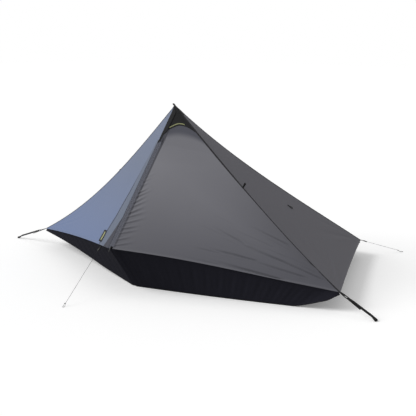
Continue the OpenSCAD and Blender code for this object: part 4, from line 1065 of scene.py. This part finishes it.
straps, corner_tabs, strap_lengths, tack_places = {}, {}, {}, []
ACROSS = (0, 1, 0)
for name, (side, reach, twist) in STRAPS.items():
    tab, strap, tacks, run = strap_paths(reach)
    tab, strap, tacks = ([np.array([side * x * MM, RIGHT_CORNER[1], z * MM]) for x, z in path]
                         for path in (tab, strap, tacks))
    steps = run_along(strap)
    corner_tabs[name] = ribbon("corner_tab_" + name + "_web", tab, ACROSS, STRAP_WIDTH, WEB)
    straps[name] = ribbon("corner_strap_" + name, strap, ACROSS, STRAP_WIDTH, WEB, 2 * MM, twist,
                          steps[[STRAIGHT, STRAIGHT + 1]])
    strap_lengths[name] = float(steps[-1])
    tack_places += [(place, (side * run[0], 0, run[1]), ACROSS, 15 * MM) for place in tacks]
print("straps", strap_lengths)

# %% [markdown]
# ## Tabs for the cords, and tie-outs
# Narrow webbing again. A tab is a loop round the bar of its cord lock. The right ridge's tie-out stands on its seam and
# the left one has fallen over to the far side. A panel tie-out lies down the cloth, and its loop stands off below.

# %% Tabs and tie-outs
TAB_WIDTH, TIE_WIDTH, NARROW_WEB = 15 * MM, 12 * MM, 1.3 * MM
RIDGE_TIE = [(0.8, 0), (0.8, 20.25), (4, 31.5), *arc((0, 41), 4, 0, 180), (-4, 31.5), (-0.8, 20.25), (-0.8, 0)]
PANEL_TIE = [(1.6, 0), (1.6, 27), *arc((5.6, 41), 4, 180, 0), (8, 31.5), (3.2, 18), (3.2, 0)]
FRONT_TAB_AT, FRONT_PEG = np.array([-141.3, -617.8, 306.8]) * MM, np.array([0, -1.103, 0])
rear_out = unit(REAR_RIGHT * LEVEL)
rear_peg = REAR_RIGHT * LEVEL + 0.397 * rear_out
rear_side = np.array([-rear_out[1], rear_out[0], 0])
# Where a tab is sewn, where its cord goes, its width's direction, and how far out it starts
CORD_TABS = {
    "front_tab": (FRONT_TAB_AT, FRONT_PEG, FRONT_FOOT - LEFT_CORNER, 5.4),
    "rear_tab_right": (REAR_RIGHT, rear_peg, rear_side, 0.6),
    "rear_tab_left": (REAR_LEFT, rear_peg * OTHER_SIDE, rear_side * OTHER_SIDE, 0.6)}
# The lean of a ridge tie-out in degrees, and a panel tie-out's share of the way across its panel
RIDGE_TIES, PANEL_TIES = {"right": 0, "left": 95}, {"right": 0.66, "left": 0.34, "rear": 0.5}
# Shares of the way down: a ridge tie-out with a point to either side, and a panel tie-out's two ends
RIDGE_TIE_AT, PANEL_TIE_AT = np.array([5.9, 6, 6.1]) / 14, np.array([8.7, 9.2]) / 14


def in_frame(path, origin, x, z):
    return [origin + (p * x + q * z) * MM for p, q in path]


def cord_tab(name, origin, target, side, seat):
    x = unit(target - origin)
    y = unit(side - x * (side @ x))
    path = [(seat, 0.8), (10, 0.8), (18, 2.5), *arc((35.5, 0), 2.5, 90, -90), (18, -2.5), (10, -0.8), (seat, -0.8)]
    level = unit(np.cross(UP, x))
    tack_places.append((origin + 12 * MM * x + 2 * MM * np.cross(x, level), x, level, 11 * MM))
    return ribbon(name, in_frame(path, origin, x, np.cross(x, y)), y, TAB_WIDTH, NARROW_WEB)


def ridge_tie(side, lean):
    line, *edges = RIDGE_SIDES[side]
    normal = sum(side_direction(line, edge, RIDGE_TIE_AT)[1][1] for edge in edges)
    above, middle, below = line(RIDGE_TIE_AT)
    along = unit(below - above)
    up = unit(normal - along * (normal @ along))
    across = np.cross(along, up)
    c, s = math.cos(math.radians(lean)), math.sin(math.radians(lean))
    origin = middle + (1.3 + 1.5 * s) * MM * up
    path = in_frame(RIDGE_TIE, origin, c * across - s * up, s * across + c * up)
    return ribbon("tie_out_ridge_" + side, path, along, TIE_WIDTH, NARROW_WEB)


def panel_tie(side, k):
    edges, corners, folds, seed = END_PANELS[side]
    u, v = np.full(2, k), PANEL_TIE_AT
    outward = middle_normal(*corners)
    pair = panel(*edges, hem_arch(*corners), u, v)
    pair = pair + outward * panel_height(pair[None], u[None], v[None], folds, seed)[0][:, None]
    down = unit(pair[1] - pair[0])
    x = unit(outward - down * (outward @ down))
    path = in_frame(PANEL_TIE, pair[0], x, down)
    return ribbon("tie_out_panel_" + side, path, np.cross(down, x), TIE_WIDTH, NARROW_WEB)


cord_tabs = {node: cord_tab(node + "_web", *facts) for node, facts in CORD_TABS.items()}
tie_outs = {"ridge_tie_out_" + side: ridge_tie(side, lean) for side, lean in RIDGE_TIES.items()}
tie_outs.update({"panel_tie_out_" + side: panel_tie(side, k) for side, k in PANEL_TIES.items()})
print("tabs", len(cord_tabs), "tie-outs", len(tie_outs))

# %% [markdown]
# ## Hard parts
# Buckles, cord locks, slider, pull and pole keep their CAD shape. A moulded part never has a knife edge, so each is
# copied, its loose triangles are merged, and a small bevel breaks the edges and catches the light.

# %% Hard parts with broken edges
# Name, bevel in millimetres and material
HARD = {
    "buckle_right": ("ladder_buckle_right", 0.45, "black_plastic"),
    "buckle_left": ("ladder_buckle_left", 0.45, "black_plastic"),
    "lock_front": ("cord_lock_front", 0.5, "black_plastic"),
    "lock_rear_right": ("cord_lock_rear_right", 0.5, "black_plastic"),
    "lock_rear_left": ("cord_lock_rear_left", 0.5, "black_plastic"),
    "zip_slider": ("zip_slider_body", 0.25, "slider_metal"), "zip_pull": ("zip_pull_tab", 0.3, "black_plastic"),
    "pole_top_plug": ("pole_plug", 0.5, "black_plastic"), "pole_upper": ("pole_tube_upper", 0.25, "tube"),
    "pole_lower": ("pole_tube_lower", 0.25, "tube"), "rubber_foot": ("pole_foot", 1.0, "rubber"),
    "clamp_collar": ("pole_clamp", 0.5, "black_plastic"), "clamp_pin": ("pole_clamp_pin", 0.2, "steel"),
    "clamp_lever": ("pole_clamp_lever", 0.5, "black_plastic")}
SHARP = 32


def soften(node, name, width):
    piece = bpy.data.objects.new(name, nodes[node].data.copy())
    bpy.context.collection.objects.link(piece)
    pick(piece)
    merge_points(0.1 * MERGE, 0.5)
    break_edges(piece, width, SHARP)
    bpy.ops.object.shade_smooth_by_angle(angle=math.radians(SHARP))
    return piece


hard = {node: soften(node, name, width * MM) for node, (name, width, _) in HARD.items()}
print("hard parts", {p.name: len(p.data.polygons) for p in hard.values()})

# %% [markdown]
# ## Bar tacks
# Webbing that takes load is fixed with bar tacks, which are tight zigzags of thread. Each is one thread laid to and fro
# and they are joined into one piece, because nothing separates them.

# %% Bar tacks
TACK_PASSES, TACK_LENGTH, TACK_THREAD = 17, 3 * MM, 0.28 * MM


def bar_tack(centre, along, across, width):
    k = np.linspace(-0.5, 0.5, TACK_PASSES)
    sway = np.where(np.arange(TACK_PASSES) % 2, 0.5, -0.5)
    points = centre + np.outer(k * width, unit(across)) + np.outer(sway * TACK_LENGTH, unit(along))
    return as_mesh(curve_piece("tack", points, TACK_THREAD, "POLY", 0))


tacks = [bar_tack(*facts) for facts in tack_places]
pick(tacks[0])
for tack in tacks:
    tack.select_set(True)
bpy.ops.object.join()
bar_tacks = bpy.context.object
bar_tacks.name = "bar_tacks"
print("bar tacks", len(tacks), len(bar_tacks.data.polygons))

# %% [markdown]
# ## Materials
# Every material is a principled shader. Colours are the ones the eye reads in even light, as sRGB hex, and one function
# turns them to linear; in some cloths and in the netting, light and shade are painted into the colour, as said where
# they are made. One helper adds a node with its settings and links, and short ones use it for what comes often.
# Patterns are scaled from real sizes in millimetres, and the very fine ones are drawn coarser so that they show at all.

# %% Colour and node helpers


def colour(code):
    parts = [int(code[i:i + 2], 16) / 255 for i in (1, 3, 5)]
    return (*[c / 12.92 if c <= 0.04045 else ((c + 0.055) / 1.055) ** 2.4 for c in parts], 1)


def add(tree, kind, values=None, links=None, **settings):
    node = tree.nodes.new("ShaderNode" + kind)
    for key, value in settings.items():
        setattr(node, key, value)
    for key, value in (values or {}).items():
        node.inputs[key].default_value = value
    for key, source in (links or {}).items():
        tree.links.new(source, node.inputs[key])
    return node


def blend_in(tree, factor, a, code):
    """Mix a colour into another, which is a hex code or the output of a node."""
    values, links = {"B": colour(code)}, {"Factor": factor}
    if isinstance(a, str):
        values["A"] = colour(a)
    else:
        links["A"] = a
    return add(tree, "Mix", values, links, data_type="RGBA").outputs["Result"]


def work(tree, operation, a, *values, b=None):
    links = {0: a} if b is None else {0: a, 1: b}
    return add(tree, "Math", dict(enumerate(values, 1)), links, operation=operation).outputs[0]


def spread(tree, value, low, high, to_low=0.0, to_high=1.0):
    return add(tree, "MapRange", {"From Min": low, "From Max": high, "To Min": to_low, "To Max": to_high},
               {"Value": value}).outputs["Result"]


def new_material(name, code, roughness, **more):
    material = bpy.data.materials.new(name)
    material.use_nodes = True
    tree = material.node_tree
    shader = tree.nodes["Principled BSDF"]
    for key, value in {"Base Color": colour(code), "Roughness": roughness, **more}.items():
        shader.inputs[key].default_value = value
    return material, tree, shader


def surface(tree, shader, base, height, strength, distance, invert=False):
    """Give a material its base colour, if it has a pattern, and a fine relief."""
    if base:
        tree.links.new(base, shader.inputs["Base Color"])
    bump = add(tree, "Bump", {"Strength": strength, "Distance": distance}, {"Height": height}, invert=invert)
    tree.links.new(bump.outputs["Normal"], shader.inputs["Normal"])


def give(material, slot, *pieces):
    for piece in pieces:
        piece.data.materials.clear()
        piece.data.materials.append(material)


print("mid grey", [round(c, 3) for c in colour("#808080")])

# %% [markdown]
# The canopy is coated ripstop nylon: thin, a little shiny, with a raised thread every few millimetres each way. The
# grid comes from a brick texture with no offset. The weave map puts it in metres, and the hem map draws the row of
# stitching and the lighter turned-up hem.

# %% Ripstop nylon
GRID = 6 * MM
HEM_WIDTH, STITCH_AT, STITCH_HALF, STITCH_LENGTH = 14 * MM, 12 * MM, 0.5 * MM, 4 * MM


def ripstop(name, main, thread, shade, stitch_and_crease_shade, low, lining_shade="#55565f"):
    material, tree, shader = new_material(name, main, 0.5, **{"IOR": 1.5, "Specular IOR Level": 0.2})
    weave = add(tree, "UVMap", uv_map="weave")
    squares = add(tree, "TexBrick", {"Color1": colour(main), "Color2": colour(main), "Mortar": colour(thread),
                                     "Scale": 1 / GRID, "Mortar Size": 0.05, "Mortar Smooth": 0.6, "Brick Width": 1,
                                     "Row Height": 1}, {"Vector": weave.outputs["UV"]}, offset=0, squash=1)
    place = add(tree, "TexCoord").outputs["Object"]
    # Patches about 0.4 m across where the cloth lies slacker and darker
    slow = add(tree, "TexNoise", {"Scale": 2.5, "Detail": 2, "Roughness": 0.4}, {"Vector": place}).outputs["Fac"]
    base = blend_in(tree, spread(tree, slow, 0.35, 0.65, 0, 0.35), squares.outputs["Color"], shade)
    # Less light comes through the cloth from behind near the ground
    rise = add(tree, "SeparateXYZ", links={"Vector": place}).outputs["Z"]
    base = blend_in(tree, spread(tree, rise, 0.85, 0.2), base, low)
    # Where the cloth is two layers it is painted in the lining colour: painted shade, for less light through two
    # layers.
    base = blend_in(tree, add(tree, "Attribute", attribute_name="doubled").outputs["Fac"], base, lining_shade)
    # Creases, and the facing beside the zip, are painted darker with the stitch colour: painted shade.
    crease = add(tree, "Attribute", attribute_name="crease").outputs["Fac"]
    base = blend_in(tree, work(tree, "MULTIPLY", crease, 0.55), base, stitch_and_crease_shade)
    hem = add(tree, "UVMap", uv_map="hem")
    along, above, _ = add(tree, "SeparateXYZ", links={"Vector": hem.outputs["UV"]}).outputs
    base = blend_in(tree, spread(tree, above, HEM_WIDTH, HEM_WIDTH + 1 * MM, 0.15, 0), base, thread)
    near = work(tree, "COMPARE", above, STITCH_AT, STITCH_HALF)
    beat = work(tree, "FLOORED_MODULO", along, STITCH_LENGTH)
    dash = work(tree, "LESS_THAN", beat, 0.75 * STITCH_LENGTH)
    base = blend_in(tree, work(tree, "MULTIPLY", near, b=dash), base, stitch_and_crease_shade)
    surface(tree, shader, base, squares.outputs["Fac"], 0.25, 0.2 * MM)
    return material


# The left front cloth is painted slate blue, lighter than the grey cloth and bluer towards the hem: painted sky light.
skylit_slate_ripstop = ripstop("ripstop_nylon_slate_skylit", "#6f788d", "#788297", "#697388", "#444a58", "#6b7a9c", "#656d7d")
grey_ripstop = ripstop("ripstop_nylon_grey", "#66656d", "#6e6d75", "#605f67", "#434347", "#616067")
# The door's copy of the grey cloth is painted lighter than the copy on the ends and rear, as painted light, and much
# darker towards the hem, as painted shade.
door_ripstop_painted_light = ripstop("ripstop_nylon_grey_door_painted_light", "#7b7b81", "#838389", "#74747a", "#434347", "#56565d")
# The felled seams are painted near black: real seams of the grey cloth, with painted shade along the ridges.
seam_shade_cloth = ripstop("ripstop_nylon_felled_shaded", "#29292c", "#303034", "#252528", "#1e1e20", "#28282b")
# The facing's seam is painted darker than the slate cloth: painted shade along the flap's edge, with the left front's
# painted sky light.
skylit_seam_shade = ripstop("ripstop_nylon_slate_seam_shaded", "#4a5060", "#505768", "#454b5a", "#343944", "#4a5265")
print("cloth materials", skylit_slate_ripstop.name, grey_ripstop.name, seam_shade_cloth.name)

# %% [markdown]
# The other woven goods differ mostly in how coarse their threads are and how they shine. One brick texture with a half
# offset reads as a plain weave, and its size tells pack cloth, webbing, zip tape and binding apart.

# %% Other woven goods


def woven(name, main, thread, across, along, roughness, depth):
    """Across and along are the spacing of the threads in millimetres, and so is the depth between them."""
    material, tree, shader = new_material(name, main, roughness, **{"IOR": 1.5, "Specular IOR Level": 0.25})
    weave = add(tree, "UVMap", uv_map="weave")
    bricks = add(tree, "TexBrick", {"Color1": colour(main), "Color2": colour(thread), "Mortar": colour("#0b0b0c"),
                                    "Scale": 1, "Mortar Size": 0.12 * along * MM, "Mortar Smooth": 1,
                                    "Brick Width": across * MM, "Row Height": along * MM},
                 {"Vector": weave.outputs["UV"]}, offset=0.5, squash=1)
    surface(tree, shader, bricks.outputs["Color"], bricks.outputs["Fac"], 0.6, depth * MM, True)
    return material


pack_cloth = woven("pack_cloth_black", "#19191b", "#1f1f21", 1.6, 0.8, 0.6, 0.15)
webbing = woven("polyester_webbing_black", "#111112", "#19191a", 2.4, 1.1, 0.62, 0.3)
zip_grey = woven("zip_tape_grey", "#61636e", "#696b76", 1.2, 0.7, 0.65, 0.12)
zip_dark = woven("zip_tape_dark", "#45464f", "#4c4d57", 1.2, 0.7, 0.65, 0.12)
ribbed_tape = woven("grosgrain_black", "#17171a", "#202024", 9, 0.9, 0.6, 0.2)
print("woven", [m.name for m in (pack_cloth, webbing, zip_grey, zip_dark, ribbed_tape)])

# %% [markdown]
# Insect netting has holes of about half a millimetre, far finer than a picture shows. Here the holes are drawn 2.5 mm
# apart as dark cells between paler threads, on an opaque sheet: the dark cells are painted shade, the dim inside of the
# shelter seen through the holes. The cord is braided nylon: dark grey, with flecks where the strands cross.

# %% Netting and cord
MESH_CELL, STRAND = 2.5 * MM, 1.5 * MM
netting, tree, shader = new_material("insect_netting_black", "#1b1b20", 0.7, **{"Specular IOR Level": 0.1})
weave = add(tree, "UVMap", uv_map="weave")
cells = add(tree, "TexVoronoi", {"Scale": 1 / MESH_CELL, "Randomness": 0.15}, {"Vector": weave.outputs["UV"]},
            feature="F1", voronoi_dimensions="2D")
threads = spread(tree, cells.outputs["Distance"], 0.25, 0.55)
# The cells are painted near black: painted shade, the shelter's dim inside seen through the holes.
surface(tree, shader, blend_in(tree, threads, "#17171d", "#32323d"), threads, 0.4, 0.2 * MM)

braid, tree, shader = new_material("braided_nylon_charcoal", "#303031", 0.6, **{"Specular IOR Level": 0.2})
place = add(tree, "TexCoord").outputs["Object"]
strands = add(tree, "TexVoronoi", {"Scale": 1 / STRAND}, {"Vector": place}).outputs["Distance"]
surface(tree, shader, blend_in(tree, strands, "#303031", "#1e1e1f"), strands, 0.5, 0.2 * MM, True)
print("netting cell", MESH_CELL)

# %% [markdown]
# The hard parts need only a base, a roughness and a fine surface: moulded acetal, painted die-cast zinc, anodised
# tube with drawing lines along it, a steel pin and a rubber foot.

# %% Hard materials


def grained(name, code, roughness, grain, depth, stretch=(1, 1, 1), **more):
    """Grain is the size of the surface's grit and depth its height, in millimetres."""
    material, tree, shader = new_material(name, code, roughness, **more)
    place = add(tree, "TexCoord").outputs["Object"]
    size = add(tree, "Mapping", {"Scale": stretch}, {"Vector": place})
    grit = add(tree, "TexNoise", {"Scale": 1 / (grain * MM), "Detail": 2}, {"Vector": size.outputs["Vector"]})
    surface(tree, shader, None, grit.outputs["Fac"], 0.3, depth * MM)
    return material


hard_materials = {
    "black_plastic": grained("moulded_acetal_black", "#161617", 0.4, 0.8, 0.05, IOR=1.48),
    "slider_metal": grained("painted_zinc_black", "#1c1c1f", 0.32, 0.6, 0.02, IOR=1.5),
    "tube": grained("anodised_aluminium", "#9a9ca0", 0.34, 1, 0.03, (1, 1, 0.02), Metallic=1),
    "steel": grained("steel_pin", "#a8aaae", 0.28, 1, 0.02, Metallic=1),
    "rubber": grained("moulded_rubber", "#1a1a1a", 0.75, 1.2, 0.08, IOR=1.52)}
coil_nylon = grained("nylon_monofilament_dark", "#6c6d78", 0.35, 0.5, 0.01, IOR=1.53)
dark_thread = grained("polyester_thread_black", "#2b2b2c", 0.55, 0.4, 0.05, IOR=1.5)
bar_thread = grained("embroidery_thread_olive", "#94976a", 0.5, 0.5, 0.05, IOR=1.5)
for node, (_, _, slot) in HARD.items():
    give(hard_materials[slot], slot, hard[node])
print("hard materials", list(hard_materials))

# %% [markdown]
# Each soft piece gets its material. Each call also names the slot that the record gives it, which is not used here.

# %% Materials on the soft pieces
give(skylit_slate_ripstop, "slate_cloth", left_front, left_tip, zip_flap)
give(skylit_seam_shade, "slate_cloth", facing_seam)
give(grey_ripstop, "grey_cloth", *end_cloths.values())
give(door_ripstop_painted_light, "grey_cloth", right_front_cloth)
give(seam_shade_cloth, "grey_cloth", *seams.values())
give(pack_cloth, "black_cloth", peak_cap, peak_patch, front_tape, pole_pocket, hem_tag)
give(bar_thread, "black_cloth", patch_bar, tag_bar)
give(webbing, "webbing", hang_loop, *straps.values(), *corner_tabs.values(), *cord_tabs.values(), *tie_outs.values())
give(dark_thread, "webbing", bar_tacks)
give(zip_grey, "zip_tape", tape_left, tape_right)
give(zip_dark, "zip_tape", zip_foot, zip_head)
give(coil_nylon, "zip_coil", coil_left, coil_right)
give(netting, "netting", *nets.values())
give(ribbed_tape, "binding", *bindings.values())
give(braid, "cord", *cords.values(), *knots.values())
print("materials", len(bpy.data.materials))

# %% [markdown]
# ## What moves with what
# Most pieces stay with the canopy. The right front sheet and its netting cross the door's fold; the side of the fold is
# worked out and they are set in the frame's coordinates, but nothing here ties them to a body or makes them bend there.

# %% Bodies
fold_side = unit(np.cross(door_out, unit(fold_foot - zip_top)))
fold_side = fold_side * np.sign(fold_side @ (FRONT_FOOT - zip_top))
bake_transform(right_front_cloth)
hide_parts("front_yoke", "door_leaf")
for piece, *stood_for in ((nets["net_front"], "net_corner", "net_door"), (bindings["net_front"], "net_binding_door")):
    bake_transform(piece)
    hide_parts(*stood_for)

STANDS_FOR = {
    left_front: "front_left_panel", peak_cap: "apex_cap", peak_patch: "apex_patch", front_tape: "front_tape",
    hang_loop: "apex_loop", pole_pocket: "pole_pocket", tape_left: "zip_tape_left", coil_left: "zip_coil_left",
    zip_flap: "zip_flap", hem_tag: "hem_tag", bindings["net_front_left"]: "net_binding"}
STANDS_FOR.update({piece: side + "_panel" for side, piece in end_cloths.items()})
STANDS_FOR.update({piece: name for name, piece in nets.items() if name != "net_front"})
for group in (seams, cord_tabs, tie_outs, cords):
    STANDS_FOR.update({piece: node for node, piece in group.items()})
for name in STRAPS:
    STANDS_FOR.update({straps[name]: "strap_" + name, corner_tabs[name]: "corner_tab_" + name})
for piece, node in STANDS_FOR.items():
    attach(piece, "canopy")
    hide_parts(node)
for piece in (*(bindings["net_" + side] for side in END_PANELS), patch_bar, tag_bar, bar_tacks, facing_seam, zip_foot,
              zip_head, left_tip, *knots.values()):
    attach(piece, "canopy")
for piece, node in ((tape_right, "zip_tape_right"), (coil_right, "zip_coil_right")):
    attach(piece, "door")
    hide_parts(node)
body_of = {node: body for body, members in frame["record"]["behaviour"]["bodies"].items() for node in members}
for node, piece in hard.items():
    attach(piece, body_of[node])
    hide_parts(node)
print("pieces placed", len(STANDS_FOR) + len(hard))

# %% [markdown]
# ## Cut sizes of the cloth
# A cord or a cloth has a real length or a real cut, which a later user may need to hang it again. The panels' cuts are
# worked out here as triangles and printed; the netting's run and heights are worked out but not kept, and the straps'
# lengths are printed where the straps are made.


def triangle(a, b):
    """Width, height and area of a flat panel from the peak to a hem."""
    width = float(np.linalg.norm(b - a))
    area = 0.5 * float(np.linalg.norm(np.cross(a - PEAK, b - PEAK)))
    return (width, 2 * area / width), area


for piece, pair, sewn in (
        (left_front, (LEFT_CORNER, FRONT_FOOT), (zip_flap, facing_seam, zip_foot, left_tip, hem_tag, tag_bar,
                                                 seams["ridge_seam_left"], tape_left)),
        (right_front_cloth, (FRONT_FOOT, RIGHT_CORNER), (peak_patch, patch_bar, front_tape, peak_cap, hang_loop,
                                                         seams["ridge_seam_right"], tape_right)),
        *((end_cloths[side], END_PANELS[side][1], (seams["ridge_seam_rear_" + side], tie_outs["panel_tie_out_" + side],
                                                   tie_outs["ridge_tie_out_" + side])) for side in STRAPS),
        (end_cloths["rear"], END_PANELS["rear"][1], (tie_outs["panel_tie_out_rear"],))):
    flat, area = triangle(*pair)
    print(piece.name, "cut", [round(q, 3) for q in flat], "area", round(area, 3))
for name, piece in nets.items():
    hem, foot, _ = net_lines[name]
    run, heights = float(run_along(hem)[-1]), np.linalg.norm(foot - hem, axis=1)

# %% [markdown]
# ## Stage
# A white floor and a white world, and one soft sun, as wide as a bright cloud, from the front left. The lamp, together
# with the light painted into the colours of the left front and the door, makes the left front the lightest panel and
# the right end the darkest, as in the photograph. The eye gets white paper with the shelter's shadow on it; the light
# that the floor throws back up is that of dull ground.

# %% Floor, world and lamp
PAPER, GROUND, GLOW = "#f4f4f4", "#8a8a8a", 0.2
SKY, LAMP_STRENGTH, LAMP_WIDTH = 0.5, 2.2, 40
LAMP_AT, LAMP_AIM = (-3.5, -4.5, 4.5), np.array([0, 0, 0.5])
WHITE = (1, 1, 1, 1)
bpy.context.scene.view_settings.view_transform = "Standard"
bpy.ops.object.select_all(action="DESELECT")
bpy.ops.mesh.primitive_plane_add(size=60, location=(0, 0, -0.4 * MM))
floor = bpy.context.object
floor.name = "floor"
paper, tree, shader = new_material("white_paper", PAPER, 0.9, **{"Emission Color": WHITE, "Specular IOR Level": 0})
seen = add(tree, "LightPath").outputs["Is Camera Ray"]
tree.links.new(blend_in(tree, seen, GROUND, PAPER), shader.inputs["Base Color"])
tree.links.new(work(tree, "MULTIPLY", seen, GLOW), shader.inputs["Emission Strength"])
floor.data.materials.append(paper)

world = bpy.data.worlds.new("white_room")
bpy.context.scene.world = world
world.use_nodes = True
tree = world.node_tree
seen = add(tree, "LightPath").outputs["Is Camera Ray"]
strength = add(tree, "Mix", {"A": SKY, "B": 1.0}, {"Factor": seen}, data_type="FLOAT")
tree.nodes["Background"].inputs["Color"].default_value = WHITE
tree.links.new(strength.outputs["Result"], tree.nodes["Background"].inputs["Strength"])

bpy.ops.object.light_add(type="SUN", location=LAMP_AT)
lamp = bpy.context.object
lamp.data.angle, lamp.data.energy = math.radians(LAMP_WIDTH), LAMP_STRENGTH
aim = unit(LAMP_AIM - np.array(lamp.location))
lamp.rotation_euler = (math.acos(-aim[2]), 0, math.atan2(aim[1], aim[0]) - math.pi / 2)
print("lamp", tuple(lamp.location), lamp.data.energy)
